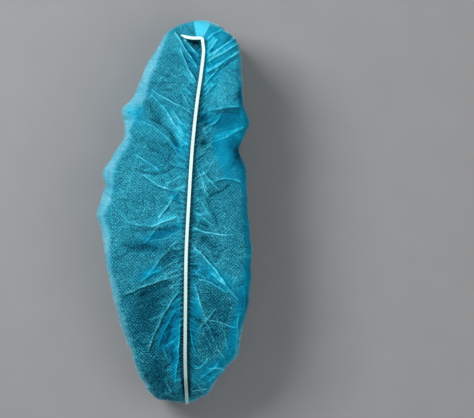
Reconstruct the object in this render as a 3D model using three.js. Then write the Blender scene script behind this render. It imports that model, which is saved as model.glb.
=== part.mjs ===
// A disposable non-woven shoe cover, filled out as it is when worn and lying sole up.
// Millimetres, +Z up. +Y points to the heel, -Y to the toe, and the sole faces +Z.
// The origin is on the floor, under the middle of the cover.
import * as THREE from "three";
import { mergeVertices } from "three/addons/utils/BufferGeometryUtils.js";

// Driving dimensions
const LENGTH = 330; // heel to toe
const WALL = 1.5; // thickness of the fabric wall

const SEAM_START = 15; // where the sole seam starts, from the back of the heel
const SEAM_END = 322; // where it turns down over the toe
const FIN_RISE = 5; // the sewn edges stand up along the seam by this much
const FIN_HALF = 1.3; // half the width of those edges
const FIN_FOOT = 1.9; // half the width of the fin where it meets the sole
const FIN_TAPER = 16; // the fin runs out over this length at both ends
const SEAM_TAUT = 8; // creases fade within this distance of the seam

const BAND_WIDTH = 3.5; // white elastic along the seam
const BAND_THICK = 1.2;
const TOE_LAP_ROWS = 11; // rows of the toe that the elastic runs on over
const TAIL_RIBS = 3; // ribs that the loose end of the elastic skips at the heel
const CLEARANCE = 0.6; // gap between pieces that are sewn together

const OPENING = { x: 2, station: 150, halfLength: 92, halfWidth: 30 };
const HEM = { width: 9, height: 5, corner: 1.2, shoulder: 1.8, pleats: 26, ripple: 0.6 };

const COLUMNS = 50; // ribs on each side of the seam
const ROWS = 20; // rows of facets from the fin's foot to the opening
const FACING = { edge: 0.1, full: 0.8 }; // how far up cloth faces where creases start and are full
const FLANK_RIPPLES = { count: 17, depth: 2, wander: 0.9, low: 22, high: 48 }; // fade low to high
const UNDERSIDE_PLEATS = { count: HEM.pleats, depth: 2.6, reach: 42 };

// Cross sections, heel first. station: distance from the back of the heel. left, right: the
// widest outline. seam: the seam's place. All three are x. sole: height of the sole.
const SECTIONS = [
  { station: 0, left: 21, right: 21, seam: 22, sole: 66 },
  { station: 8, left: -5.6, right: 45.2, seam: 22, sole: 74 },
  { station: 24, left: -15.5, right: 56.3, seam: 24.5, sole: 80 },
  { station: 45, left: -27, right: 57.2, seam: 22.5, sole: 82 },
  { station: 70, left: -37, right: 59, seam: 19, sole: 82 },
  { station: 110, left: -52, right: 60.5, seam: 14.8, sole: 81 },
  { station: 160, left: -63.4, right: 63, seam: 11.6, sole: 82 },
  { station: 200, left: -60.5, right: 66, seam: 9.6, sole: 82 },
  { station: 240, left: -53, right: 64.6, seam: 9, sole: 79 },
  { station: 270, left: -42.5, right: 57, seam: 8.7, sole: 74 },
  { station: 290, left: -35.5, right: 53.5, seam: 8.6, sole: 68 },
  { station: 310, left: -27.5, right: 37, seam: 9, sole: 58 },
  { station: 322, left: -19, right: 27.5, seam: 9.6, sole: 49 },
  { station: 327, left: -12.5, right: 20, seam: 9.8, sole: 44.5 },
  { station: 330, left: 9.9, right: 9.9, seam: 9.9, sole: 40 },
];

// Places where slack fabric bulges past the smooth outline, or is drawn in.
const EDGE_BULGES = [
  { side: -1, station: 79, out: 6, spread: 9 },
  { side: -1, station: 101, out: -3.5, spread: 10 },
  { side: -1, station: 129, out: 4.5, spread: 7 },
  { side: -1, station: 168, out: 2.5, spread: 10 },
  { side: 1, station: 86, out: 4.5, spread: 10 },
  { side: 1, station: 109, out: -3, spread: 8 },
  { side: 1, station: 304, out: -1.5, spread: 7 },
];

// The profile of every rib, from the foot of the fin over the edge of the sole and down to the
// floor. reach: share of the way out to the outline. inset: distance in from there. height: share
// of the sole's height.
const RIB_PROFILE = [
  { reach: 0, inset: 0, height: 1 },
  { reach: 0.3, inset: 0, height: 1 },
  { reach: 0.62, inset: 0, height: 0.995 },
  { reach: 0.86, inset: 0, height: 0.955 },
  { reach: 0.965, inset: 0, height: 0.83 },
  { reach: 1, inset: 0, height: 0.55 },
  { reach: 1, inset: 1.5, height: 0.26 },
  { reach: 1, inset: 5, height: 0.06 },
  { reach: 1, inset: 12, height: 0 },
];

// Main creases that the elastic draws out of the sole, each from a point near the seam to a point
// near the edge. rise is negative for a valley.
const FOLDS = [
  { fromX: 19, fromStation: 43, toX: -3, toStation: 10, rise: 2.7, half: 4 },
  { fromX: 18, fromStation: 55, toX: 5, toStation: 33, rise: 2.2, half: 4 },
  { fromX: 11, fromStation: 74, toX: -20, toStation: 59, rise: 3.8, half: 5 },
  { fromX: 9, fromStation: 105, toX: -9, toStation: 71, rise: 3.4, half: 5 },
  { fromX: 5, fromStation: 122, toX: -24, toStation: 86, rise: -4.1, half: 5.5 },
  { fromX: 5, fromStation: 146, toX: -27, toStation: 129, rise: 3.5, half: 4.5 },
  { fromX: 4, fromStation: 168, toX: -30, toStation: 188, rise: 4.1, half: 5.5 },
  { fromX: 3, fromStation: 176, toX: -43, toStation: 196, rise: -4.1, half: 5.5 },
  { fromX: 3, fromStation: 218, toX: -41, toStation: 235, rise: 3.5, half: 5 },
  { fromX: 3, fromStation: 239, toX: -28, toStation: 292, rise: 4.1, half: 4.5 },
  { fromX: 4, fromStation: 258, toX: -3, toStation: 316, rise: 3.2, half: 4.5 },
  { fromX: 26, fromStation: 22, toX: 44, toStation: 9, rise: 2.4, half: 4 },
  { fromX: 26, fromStation: 43, toX: 55, toStation: 24, rise: 2.7, half: 4 },
  { fromX: 30, fromStation: 77, toX: 60, toStation: 71, rise: 3, half: 6 },
  { fromX: 28, fromStation: 88, toX: 56, toStation: 82, rise: -3, half: 6 },
  { fromX: 26, fromStation: 111, toX: 62, toStation: 90, rise: 4.4, half: 6 },
  { fromX: 30, fromStation: 124, toX: 55, toStation: 112, rise: -4.5, half: 7.5 },
  { fromX: 28, fromStation: 138, toX: 60, toStation: 138, rise: 3.4, half: 4.5 },
  { fromX: 15, fromStation: 176, toX: 55, toStation: 184, rise: 3.5, half: 4.5 },
  { fromX: 13, fromStation: 192, toX: 46, toStation: 228, rise: 4.1, half: 5.5 },
  { fromX: 17, fromStation: 220, toX: 58, toStation: 244, rise: 4.1, half: 4.5 },
  { fromX: 20, fromStation: 233, toX: 37, toStation: 282, rise: 3.5, half: 4.5 },
  { fromX: 13, fromStation: 300, toX: 31, toStation: 289, rise: 2.7, half: 4 },
  { fromX: 18, fromStation: 14, toX: 15, toStation: 1, rise: 1.6, half: 3 },
  { fromX: 26, fromStation: 14, toX: 31, toStation: 1, rise: 1.6, half: 3 },
];

// The loose end of the elastic, from its tip to the seam. rise: height above the sole.
const ELASTIC_TAIL = [
  { x: 5.6, station: 12, rise: 3 },
  { x: 10, station: 14.4, rise: 4.4 },
  { x: 15.5, station: 15.1, rise: 5.4 },
  { x: 18.7, station: 14.8, rise: 5.8 },
  { x: 21.6, station: 15.3, rise: 6 },
  { x: 23.3, station: 17.6, rise: 5.8 },
];

const UP = new THREE.Vector3(0, 0, 1);
const { lerp, smoothstep } = THREE.MathUtils;
const stationOf = (y) => LENGTH / 2 - y;
const yOf = (station) => LENGTH / 2 - station;
const bell = (distance, spread) => Math.exp(-((distance / spread) ** 2));

// A smooth curve through one column of SECTIONS. It runs over an angle that opens evenly from heel
// to toe, so both ends of the outline come out round.
function smoothColumn(key) {
  const angleOf = (s) => Math.acos(THREE.MathUtils.clamp(1 - (2 * s) / LENGTH, -1, 1));
  const angles = SECTIONS.map((row) => angleOf(row.station));
  const values = SECTIONS.map((row) => row[key]);
  const slopes = values.map((_, i) => {
    const a = Math.max(i - 1, 0);
    const b = Math.min(i + 1, values.length - 1);
    return (values[b] - values[a]) / (angles[b] - angles[a]);
  });
  return (station) => {
    const angle = angleOf(station);
    let i = 0;
    while (i < angles.length - 2 && angle > angles[i + 1]) i += 1;
    const span = angles[i + 1] - angles[i];
    const u = (angle - angles[i]) / span;
    const rise = values[i + 1] - values[i];
    const bendA = slopes[i] * span - rise;
    const bendB = rise - slopes[i + 1] * span;
    return values[i] + u * rise + u * (1 - u) * ((1 - u) * bendA + u * bendB);
  };
}

const outlineX = { "-1": smoothColumn("left"), 1: smoothColumn("right") };
const seamX = smoothColumn("seam");
const soleHeight = smoothColumn("sole");

function outlinePoint(side, share) {
  const station = (LENGTH * (1 - Math.cos(Math.PI * share))) / 2;
  const bulge = EDGE_BULGES.filter((b) => b.side === side).reduce(
    (sum, b) => sum + b.out * bell(station - b.station, b.spread),
    0,
  );
  return new THREE.Vector2(outlineX[side](station) + side * bulge, yOf(station));
}

// The ribs start on the seam at half linear, half rounded steps, so they slant as the creases do.
function seamPoint(share) {
  const rounded = (1 - Math.cos(Math.PI * share)) / 2;
  const station = lerp(SEAM_START, SEAM_END, (share + rounded) / 2);
  return new THREE.Vector2(seamX(station), yOf(station));
}

// How far the sewn edges stand up at a place along the seam.
function finRise(station) {
  const fromEnd = Math.min(station - SEAM_START, SEAM_END - station);
  return FIN_RISE * smoothstep(fromEnd, 0, FIN_TAPER);
}

// A point on the oval of the opening, moved out by a margin.
function openingPoint(side, share, margin) {
  const angle = Math.PI * share;
  return new THREE.Vector2(
    OPENING.x + side * (OPENING.halfWidth + margin) * Math.sin(angle),
    yOf(OPENING.station) + (OPENING.halfLength + margin) * Math.cos(angle),
  );
}

// How far the creases lift the sole at a place in plan. They run out at the seam, which is taut.
function foldRise(x, y) {
  const fromSeam = Math.abs(x - seamX(stationOf(y)));
  const slack = smoothstep(fromSeam, FIN_HALF, SEAM_TAUT);
  const place = new THREE.Vector3(x, y, 0);
  const nearest = new THREE.Vector3();
  return FOLDS.reduce((sum, f) => {
    const crease = new THREE.Line3(
      new THREE.Vector3(f.fromX, yOf(f.fromStation), 0),
      new THREE.Vector3(f.toX, yOf(f.toStation), 0),
    );
    crease.closestPointToPoint(place, true, nearest);
    return sum + slack * f.rise * bell(place.distanceTo(nearest), f.half);
  }, 0);
}

// One rib of the cover: a curve from the foot of the fin, over the edge of the sole, down the flank
// and in under the cover to the opening.
function makeRib(side, share) {
  const seam = seamPoint(share);
  const outward = outlinePoint(side, share).sub(seam);
  const span = outward.length() - FIN_FOOT;
  outward.normalize();
  const knots = RIB_PROFILE.map(({ reach, inset, height }) => {
    const plan = seam.clone().addScaledVector(outward, FIN_FOOT + reach * span - inset);
    return new THREE.Vector3(plan.x, plan.y, height * soleHeight(stationOf(plan.y)));
  });
  const mouth = openingPoint(side, share, HEM.width / 2 + CLEARANCE);
  const mouthKnot = new THREE.Vector3(mouth.x, mouth.y, 0);
  knots.push(knots.at(-1).clone().lerp(mouthKnot, 0.5), mouthKnot);
  return { seam, outward, curve: new THREE.CatmullRomCurve3(knots, false, "centripetal") };
}

// The way out of the cover, square to a rib.
function ribNormal(tangent, outward) {
  const across = tangent.x * outward.x + tangent.y * outward.y;
  const drop = -tangent.z;
  return new THREE.Vector3(drop * outward.x, drop * outward.y, across).normalize();
}

// The outer and inner fabric surface at every row of one rib. The first two rows are the flat top
// of the fin, and the rest is cloth.
function ribRows(side, share) {
  const { seam, outward, curve } = makeRib(side, share);
  const finRows = [0, FIN_HALF].map((along) => {
    const { x, y } = seam.clone().addScaledVector(outward, along);
    const sole = soleHeight(stationOf(y));
    const outer = new THREE.Vector3(x, y, sole + finRise(stationOf(y)));
    const inner = new THREE.Vector3(x, y, sole - WALL);
    return { outer, inner, normal: UP };
  });
  const clothRows = Array.from({ length: ROWS + 1 }, (_, i) => {
    const base = curve.getPoint(i / ROWS);
    base.z = Math.max(base.z, 0);
    const normal = ribNormal(curve.getTangent(i / ROWS), outward);
    const outer = base.addScaledVector(normal, clothLift(side, share, base, normal));
    const inner = outer.clone().addScaledVector(normal, -WALL);
    return { outer, inner, normal };
  });
  return [...finRows, ...clothRows];
}

// How far creases, ripples and pleats move the cloth out of its smooth rib. Creases are on the
// sole, ripples low on the flanks, and pleats lift the underside towards the opening.
function clothLift(side, share, base, normal) {
  const onSole = smoothstep(normal.z, FACING.edge, FACING.full);
  const upright = 1 - smoothstep(Math.abs(normal.z), FACING.edge, FACING.full);
  const onFlank = upright * (1 - smoothstep(base.z, FLANK_RIPPLES.low, FLANK_RIPPLES.high));
  const mouth = openingPoint(side, share, HEM.width / 2);
  const toMouth = mouth.distanceTo(new THREE.Vector2(base.x, base.y));
  const onUnderside = normal.z < 0 ? Math.max(0, 1 - toMouth / UNDERSIDE_PLEATS.reach) : 0;
  const turn = Math.PI * (side < 0 ? share : 2 - share);
  const ripple = Math.sin(turn * FLANK_RIPPLES.count + FLANK_RIPPLES.wander * Math.sin(3 * turn));
  const pleat = 0.5 + 0.5 * Math.cos(turn * UNDERSIDE_PLEATS.count);
  const awayFromEnds = Math.sin(Math.PI * share);
  return (
    onSole * foldRise(base.x, base.y) +
    onFlank * awayFromEnds * FLANK_RIPPLES.depth * ripple -
    onUnderside * UNDERSIDE_PLEATS.depth * pleat
  );
}

// A closed mesh from points and triangles, with shared vertices merged.
function closedGeometry(points, triangles) {
  const geometry = new THREE.BufferGeometry().setFromPoints(points);
  geometry.setIndex(triangles);
  const merged = mergeVertices(geometry, 1e-3);
  merged.computeVertexNormals();
  return merged;
}

// The one folded sheet of fabric: sole, flanks and underside, open where the foot goes in.
function makeCoverBody() {
  const ribs = [];
  for (let i = 0; i <= COLUMNS; i += 1) ribs.push(ribRows(-1, i / COLUMNS));
  for (let i = COLUMNS - 1; i >= 1; i -= 1) ribs.push(ribRows(1, i / COLUMNS));
  const rows = ribs[0].length;
  const points = [];
  for (const rib of ribs) points.push(...rib.map((p) => p.outer), ...rib.map((p) => p.inner));
  const outer = (rib, row) => (rib % ribs.length) * 2 * rows + row;
  const inner = (rib, row) => outer(rib, row) + rows;
  const triangles = [];
  const quad = (a, b, c, d) => triangles.push(a, b, c, a, c, d);
  for (let rib = 0; rib < ribs.length; rib += 1) {
    for (let row = 0; row < rows - 1; row += 1) {
      quad(outer(rib, row), outer(rib, row + 1), outer(rib + 1, row + 1), outer(rib + 1, row));
      quad(inner(rib, row), inner(rib + 1, row), inner(rib + 1, row + 1), inner(rib, row + 1));
    }
    const last = rows - 1;
    quad(outer(rib, last), inner(rib, last), inner(rib + 1, last), outer(rib + 1, last));
  }
  return closedGeometry(points, triangles);
}

// A closed strip or ring swept through sections that have the same number of corners.
function sweptGeometry(sections, isRing) {
  const corners = sections[0].length;
  const at = (section, corner) => (section % sections.length) * corners + (corner % corners);
  const triangles = [];
  const spans = isRing ? sections.length : sections.length - 1;
  for (let s = 0; s < spans; s += 1) {
    for (let c = 0; c < corners; c += 1) {
      triangles.push(at(s, c), at(s + 1, c + 1), at(s, c + 1));
      triangles.push(at(s, c), at(s + 1, c), at(s + 1, c + 1));
    }
  }
  if (!isRing) {
    const end = sections.length - 1;
    for (let c = 1; c < corners - 1; c += 1) {
      triangles.push(at(0, 0), at(0, c), at(0, c + 1));
      triangles.push(at(end, 0), at(end, c + 1), at(end, c));
    }
  }
  return closedGeometry(sections.flat(), triangles);
}

// The folded edge round the opening, gathered on its own elastic. Its underside is flat.
function makeOpeningHem() {
  const steps = 3 * HEM.pleats;
  const half = HEM.width / 2;
  const sections = Array.from({ length: steps }, (_, i) => {
    const turn = (2 * i) / steps;
    const side = turn <= 1 ? -1 : 1;
    const share = turn <= 1 ? turn : 2 - turn;
    const ripple = HEM.ripple * Math.cos((Math.PI * 2 * HEM.pleats * i) / steps);
    const top = HEM.height + ripple;
    const profile = [
      { out: -half + HEM.corner, up: 0 },
      { out: half - HEM.corner, up: 0 },
      { out: half, up: HEM.corner },
      { out: half, up: top - HEM.shoulder },
      { out: half - HEM.shoulder, up: top },
      { out: -half + HEM.shoulder, up: top },
      { out: -half, up: top - HEM.shoulder },
      { out: -half, up: HEM.corner },
    ];
    return profile.map(({ out, up }) => {
      const plan = openingPoint(side, share, out);
      return new THREE.Vector3(plan.x, plan.y, up);
    });
  });
  return sweptGeometry(sections, true);
}

// The white elastic: flat along the crest of the seam, down over the toe, with a free tail that
// turns aside at the heel. Its path lies on the cloth, and the band is held off it.
function makeSoleElastic() {
  const path = ELASTIC_TAIL.map(({ x, station, rise }) => {
    const sole = soleHeight(station) + foldRise(x, yOf(station));
    return { outer: new THREE.Vector3(x, yOf(station), sole + rise), normal: UP };
  });
  for (let i = TAIL_RIBS; i < COLUMNS; i += 1) path.push(ribRows(1, i / COLUMNS)[0]);
  const toeRows = ribRows(1, 1);
  path.push(toeRows[0], ...toeRows.slice(2, 2 + TOE_LAP_ROWS));
  const sections = path.map(({ outer, normal }, i) => {
    const before = path[Math.max(i - 1, 0)].outer;
    const after = path[Math.min(i + 1, path.length - 1)].outer;
    const along = after.clone().sub(before).normalize();
    const across = new THREE.Vector3().crossVectors(along, normal).normalize();
    const face = new THREE.Vector3().crossVectors(across, along).normalize();
    const corner = (side, height) =>
      outer
        .clone()
        .addScaledVector(across, (side * BAND_WIDTH) / 2)
        .addScaledVector(face, CLEARANCE + height);
    return [corner(-1, 0), corner(1, 0), corner(1, BAND_THICK), corner(-1, BAND_THICK)];
  });
  return sweptGeometry(sections, false);
}

const nonwovenBlue = new THREE.MeshStandardMaterial({ color: 0x2d9bb8, roughness: 0.85 });
const hemBlue = new THREE.MeshStandardMaterial({ color: 0x3aa9c6, roughness: 0.85 });
const elasticWhite = new THREE.MeshStandardMaterial({ color: 0xeef3ee, roughness: 0.7 });

function named(name, geometry, material) {
  const mesh = new THREE.Mesh(geometry, material);
  mesh.name = name;
  return mesh;
}

const shoeCover = new THREE.Group();
shoeCover.add(
  named("cover_body", makeCoverBody(), nonwovenBlue),
  named("opening_hem", makeOpeningHem(), hemBlue),
  named("sole_elastic", makeSoleElastic(), elasticWhite),
);

// The origin goes on the floor under the middle of the whole cover.
const whole = new THREE.Box3().setFromObject(shoeCover);
const middle = whole.getCenter(new THREE.Vector3()).setZ(whole.min.z);
shoeCover.children.forEach((mesh) => mesh.geometry.translate(-middle.x, -middle.y, -middle.z));

export default shoeCover;
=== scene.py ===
# %% [markdown]
# # A disposable shoe cover
# A shoe cover is one sheet of thin blue non-woven fabric, folded at the heel and sewn along the
# middle of the sole. A white elastic in that seam gathers the sheet, so creases fan out of it.
# The cover lies sole up, and the opening for the foot is underneath. The tables below are in
# millimetres: x to the right, and the station, which is the distance from the heel end.

# %% Load the fixed frame
import math

import bpy
import bmesh
import numpy as np
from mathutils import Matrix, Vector


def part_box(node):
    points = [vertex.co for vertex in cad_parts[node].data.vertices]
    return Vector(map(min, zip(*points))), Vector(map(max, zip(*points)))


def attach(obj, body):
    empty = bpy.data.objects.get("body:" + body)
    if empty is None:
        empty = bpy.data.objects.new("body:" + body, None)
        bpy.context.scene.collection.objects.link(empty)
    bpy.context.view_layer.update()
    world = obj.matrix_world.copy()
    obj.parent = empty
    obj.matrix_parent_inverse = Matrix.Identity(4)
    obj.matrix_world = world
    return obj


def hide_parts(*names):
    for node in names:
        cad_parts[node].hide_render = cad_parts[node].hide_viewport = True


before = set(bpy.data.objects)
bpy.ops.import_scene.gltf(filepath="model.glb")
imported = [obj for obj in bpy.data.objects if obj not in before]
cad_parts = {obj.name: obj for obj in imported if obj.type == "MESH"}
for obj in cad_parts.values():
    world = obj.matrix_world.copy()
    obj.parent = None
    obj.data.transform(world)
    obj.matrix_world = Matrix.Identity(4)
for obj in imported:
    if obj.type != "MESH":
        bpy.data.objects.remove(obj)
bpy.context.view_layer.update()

dice = np.random.default_rng(11)

# %% [markdown]
# ## The form under the creases
# The smooth form comes from a table of cross sections, heel first. Each row gives the distance
# from the heel, the outline to the left and right, the place of the seam and the height of the
# sole. A curve through each column over an angle, and not over the distance, makes both ends round.
# A second table pushes the outline out or in where loose cloth makes a lobe or a neck. The form
# could be sculpted too, but in a table every size can be read and changed.

# %% Cross sections
LENGTH = 330.0
SECTIONS = np.array([  # station, left, right, seam, sole, all in mm
    (0, 21, 21, 22, 66),
    (8, -5.6, 45.2, 22, 74),
    (24, -15.5, 56.3, 24.5, 80),
    (45, -27, 57.2, 22.5, 82),
    (70, -37, 59, 19, 82),
    (110, -52, 60.5, 14.8, 81),
    (160, -63.4, 63, 11.6, 82),
    (200, -60.5, 66, 9.6, 82),
    (240, -53, 64.6, 9, 79),
    (270, -42.5, 57, 8.7, 74),
    (290, -35.5, 53.5, 8.6, 68),
    (310, -27.5, 37, 9, 58),
    (322, -19, 27.5, 9.6, 49),
    (327, -12.5, 20, 9.8, 44.5),
    (330, 9.9, 9.9, 9.9, 40),
])
EDGE_BULGES = np.array([  # side, station, how far out, spread
    (-1, 40, 2, 18),
    (-1, 76.5, 6.5, 9),
    (-1, 101, -4.5, 10),
    (-1, 129, 4.5, 7),
    (-1, 168, 2.5, 10),
    (-1, 150, 1.8, 32),
    (-1, 205, 1.2, 24),
    (-1, 268, 2.4, 18),
    (-1, 300, 2.4, 22),
    (-1, 321, 2.0, 8),
    (1, 87, 5.5, 10),
    (1, 111, -4.5, 9),
    (1, 304, -1.5, 7),
])


def angle_of(station):
    """An angle that goes from 0 at the heel to half a turn at the toe."""
    return np.arccos(np.clip(1 - 2 * np.asarray(station, float) / LENGTH, -1, 1))


def smooth_column(number):
    """A smooth function of the station through one column of the sections."""
    angles, values = angle_of(SECTIONS[:, 0]), SECTIONS[:, number]
    rows = np.arange(len(values))
    before, after = np.maximum(rows - 1, 0), np.minimum(rows + 1, rows[-1])
    slopes = (values[after] - values[before]) / (angles[after] - angles[before])

    def at(station):
        angle = angle_of(station)
        i = np.clip(np.searchsorted(angles, angle, side="right") - 1, 0, rows[-2])
        span = angles[i + 1] - angles[i]
        u = (angle - angles[i]) / span
        rise = values[i + 1] - values[i]
        bend = (1 - u) * (slopes[i] * span - rise) + u * (rise - slopes[i + 1] * span)
        return values[i] + u * rise + u * (1 - u) * bend

    return at


left_x, right_x, seam_x, sole_z = (smooth_column(n) for n in (1, 2, 3, 4))
print("sole at the middle:", round(float(sole_z(LENGTH / 2)), 1), "mm up")

# %% [markdown]
# ## Ribs
# The sheet is a grid of ribs. A rib starts at the seam, runs over the edge of the sole, down the
# flank and in under the cover to the opening. The ribs of the left side and of the right side make
# one closed loop, so a single grid covers the whole sheet and its columns can be as fine as wished.

# %% Outline, seam and opening in plan
SEAM_START, SEAM_END = 15.0, 322.0
FIN_FOOT = 1.9  # from the seam to the foot of its sewn edges
OPENING = {"x": 2.0, "station": 150.0, "half_length": 92.0, "half_width": 30.0}
HEM_WIDTH = 9.0
GAP = 0.6  # between the sheet and the pieces beside it


def smooth_step(value, low, high):
    """Rises softly from 0 to 1 between low and high."""
    t = np.clip((value - low) / (high - low), 0, 1)
    return t * t * (3 - 2 * t)


def outline(side, share):
    """The edge of the sole. The side is -1 or 1, and the share goes from 0 at the heel to 1."""
    station = LENGTH * (1 - np.cos(np.pi * share)) / 2
    x = np.where(side < 0, left_x(station), right_x(station))
    for bulge_side, place, out, spread in EDGE_BULGES:
        x = x + (side == bulge_side) * side * out * np.exp(-(((station - place) / spread) ** 2))
    return np.stack([x, LENGTH / 2 - station], -1)


def seam(share):
    """The seam. Its steps are halfway between even ones and those of the outline."""
    rounded = (1 - np.cos(np.pi * share)) / 2
    station = SEAM_START + (SEAM_END - SEAM_START) * (share + rounded) / 2
    return np.stack([seam_x(station), LENGTH / 2 - station], -1)


def opening(side, share, margin):
    """The oval opening, made wider by a margin."""
    angle = np.pi * share
    x = OPENING["x"] + side * (OPENING["half_width"] + margin) * np.sin(angle)
    y = LENGTH / 2 - OPENING["station"] + (OPENING["half_length"] + margin) * np.cos(angle)
    return np.stack([x, y], -1)


hem_low, hem_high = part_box("opening_hem")
SHIFT = 500 * np.array(hem_low + hem_high)[:2] - (OPENING["x"], LENGTH / 2 - OPENING["station"])
print("plan shift to the frame, mm:", SHIFT.round(2))

# %% One smooth curve for each rib
RIB_PROFILE = [  # reach: share of the way out, inset: mm back in, height: share of the sole's
    (0, 0, 1),
    (0.3, 0, 1),
    (0.66, 0, 0.997),
    (0.89, 0, 0.972),
    (0.982, 0, 0.885),
    (1, 0, 0.68),
    (1, 1.5, 0.28),
    (1, 5, 0.06),
    (1, 12, 0),
]


def rib_knots(side, share):
    """The points that each rib passes from the seam to the opening, and its way out in plan."""
    start = seam(share)
    outward = outline(side, share) - start
    span = np.linalg.norm(outward, axis=-1, keepdims=True)
    outward = outward / span
    knots = []
    for reach, inset, height in RIB_PROFILE:
        plan = start + outward * (FIN_FOOT + reach * (span - FIN_FOOT) - inset)
        z = height * sole_z(LENGTH / 2 - plan[:, 1])
        knots.append(np.c_[plan, z])
    mouth = np.c_[opening(side, share, HEM_WIDTH / 2 + GAP), np.zeros(len(share))]
    return np.stack([*knots, (knots[-1] + mouth) / 2, mouth], 1), outward


def unit(vectors):
    return vectors / np.linalg.norm(vectors, axis=-1, keepdims=True)


def along_ribs(knots, t):
    """Points and directions at the places t, from 0 to 1, of curves through each row of knots.

    They are centripetal Catmull-Rom curves, which make no loops where knots are close.
    """
    first = 2 * knots[:, :1] - knots[:, 1:2]
    last = 2 * knots[:, -1:] - knots[:, -2:-1]
    p = np.concatenate([first, knots, last], 1)
    step = np.linalg.norm(np.diff(p, axis=1), axis=-1, keepdims=True) ** 0.5
    spans = knots.shape[1] - 1
    i = np.minimum((t * spans).astype(int), spans - 1)
    u = (t * spans - i)[None, :, None]
    a, b, c, d = (p[:, i + k] for k in range(4))
    da, db, dc = (step[:, i + k] for k in range(3))
    m1 = ((b - a) / da - (c - a) / (da + db) + (c - b) / db) * db
    m2 = ((c - b) / db - (d - b) / (db + dc) + (d - c) / dc) * db
    k2, k3 = -3 * b + 3 * c - 2 * m1 - m2, 2 * b - 2 * c + m1 + m2
    place = b + u * (m1 + u * (k2 + u * k3))
    way = m1 + u * (2 * k2 + 3 * u * k3)
    return place, unit(way)


print("a rib passes", len(RIB_PROFILE) + 2, "points")

# %% Lay out the grid
# The sole is seen from near and gets twice the columns of the flanks. Its rows stop at SOLE_END,
# just over the edge of the sole. At FLOOR_TURN a rib has come down to the floor.
COLUMNS = 960
SOLE_ROWS, FLANK_ROWS, UNDER_ROWS = 62, 36, 13
SOLE_END, FLOOR_TURN = 0.34, 0.8
sole_t = np.linspace(0, SOLE_END, SOLE_ROWS)
flank_t = np.linspace(SOLE_END, FLOOR_TURN, FLANK_ROWS)[1:]
under_t = np.linspace(FLOOR_TURN, 1, UNDER_ROWS)[1:]
rows_t = np.r_[sole_t, flank_t, under_t]


def loop(count):
    """Places round the cover: the turn from 0 to 2, the side, and the share from heel to toe."""
    turn = np.arange(count) * 2 / count
    return turn, np.where(turn <= 1, -1, 1), np.where(turn <= 1, turn, 2 - turn)


turn, side, share = loop(COLUMNS)
on_left = (side < 0)[:, None]
start, edge = seam(share), outline(side, share)
knots, outward = rib_knots(side, share)
base, way = along_ribs(knots, rows_t)
base[..., 2] = np.maximum(base[..., 2], 0)
across = (way[..., :2] * outward[:, None]).sum(-1)
normal = unit(np.dstack([-way[..., 2:] * outward[:, None], across]))
print("grid:", base.shape[:2])

# %% Distances over the cloth
EDGE_ROW = SOLE_ROWS - 1


def run_along(points):
    """How far along a line of points each one is."""
    return np.r_[0, np.cumsum(np.linalg.norm(np.diff(points, axis=0), axis=-1))]


steps = np.linalg.norm(np.diff(base, axis=1), axis=-1)
depth = np.concatenate([np.zeros((COLUMNS, 1)), np.cumsum(steps, 1)], 1)
below_edge = depth - depth[:, EDGE_ROW:EDGE_ROW + 1]
around = run_along(edge)
way_round = np.broadcast_to(around[:, None], depth.shape).copy()
perimeter = around[-1] + np.linalg.norm(edge[0] - edge[-1])
print("perimeter:", round(float(perimeter)), "mm")

# %% [markdown]
# ## Creases
# On the real cover each crease is a thin ridge, steep on one side and gentle on the other, or a
# soft valley between two ridges. A cloth simulation makes creases too, but not where the real ones
# are. So one function lays any number of them, each along a bent line from a table. The big
# ones are listed. The small gathers beside the seam and the crumples are rows made by dice. A second
# function first draws the grid together along each line, so that a ridge runs along rows of points
# and comes out sharp.

# %% The line of a crease
WAVER_SHARE, WAVER_MOST, WAVER_TURN = 0.012, 0.35, 0.35  # of the length, mm, radians per mm


def bent_line(row):
    """Points of a bent line through the start, middle and end of a row, which wavers a little."""
    first, middle, last = (np.array(row[k:k + 2], float) for k in (0, 2, 4))
    long = np.hypot(*(last - first))
    s = np.linspace(0, 1, 6 + int(long / 5))[:, None]
    pull = 2 * middle - (first + last) / 2
    line = (1 - s) ** 2 * first + 2 * s * (1 - s) * pull + s**2 * last
    swing = np.sin(np.pi * s) * np.sin(WAVER_TURN * long * s + first.sum())
    sideways = np.array([first[1] - last[1], last[0] - first[0]]) / long
    return line + min(WAVER_SHARE * long, WAVER_MOST) * swing * sideways


def measure(x, y, line, room):
    """Which points are in a box round a line, with some room, and where the line is from them.

    That is the distance, the way, how far along the line, and the side: above 0 is right of the travel.
    """
    low, high = line.min(0) - room, line.max(0) + room
    spots = (x > low[0]) & (x < high[0]) & (y > low[1]) & (y < high[1])
    spot = np.stack([x[spots], y[spots]], -1)
    best = np.full(len(spot), 1e9)
    to_line, along, hand = np.zeros_like(spot), np.zeros(len(spot)), np.zeros(len(spot))
    for k, (a, b) in enumerate(zip(line[:-1], line[1:])):
        s = np.clip(((spot - a) @ (b - a)) / ((b - a) @ (b - a)), 0, 1)
        away = a + s[:, None] * (b - a) - spot
        gap = np.hypot(*away.T)
        closer = gap < best
        best[closer] = gap[closer]
        to_line[closer] = away[closer]
        along[closer] = (k + s[closer]) / (len(line) - 1)
        hand[closer] = ((b - a)[1] * away[:, 0] - (b - a)[0] * away[:, 1])[closer]
    return spots, best, to_line, along, hand


# %% Ridges and valleys along lines
RISE = 6  # column of a row where rise, half width and gentle side start
GENTLE = 2.2  # how much wider the gentle side of a crease is
CREST_HALF = 0.45  # half width of a ridge's sharp top, mm
START_SHARE, END_SHARE = 0.12, 0.16  # of the length, where a crease fades in and out
NARROW = 1.4  # half width, mm: a wider crease has a weaker line
FAR = 9.0  # mm, stands for no line near
DRAWN = 0.7  # the most of its way to a ridge that a point is moved


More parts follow.
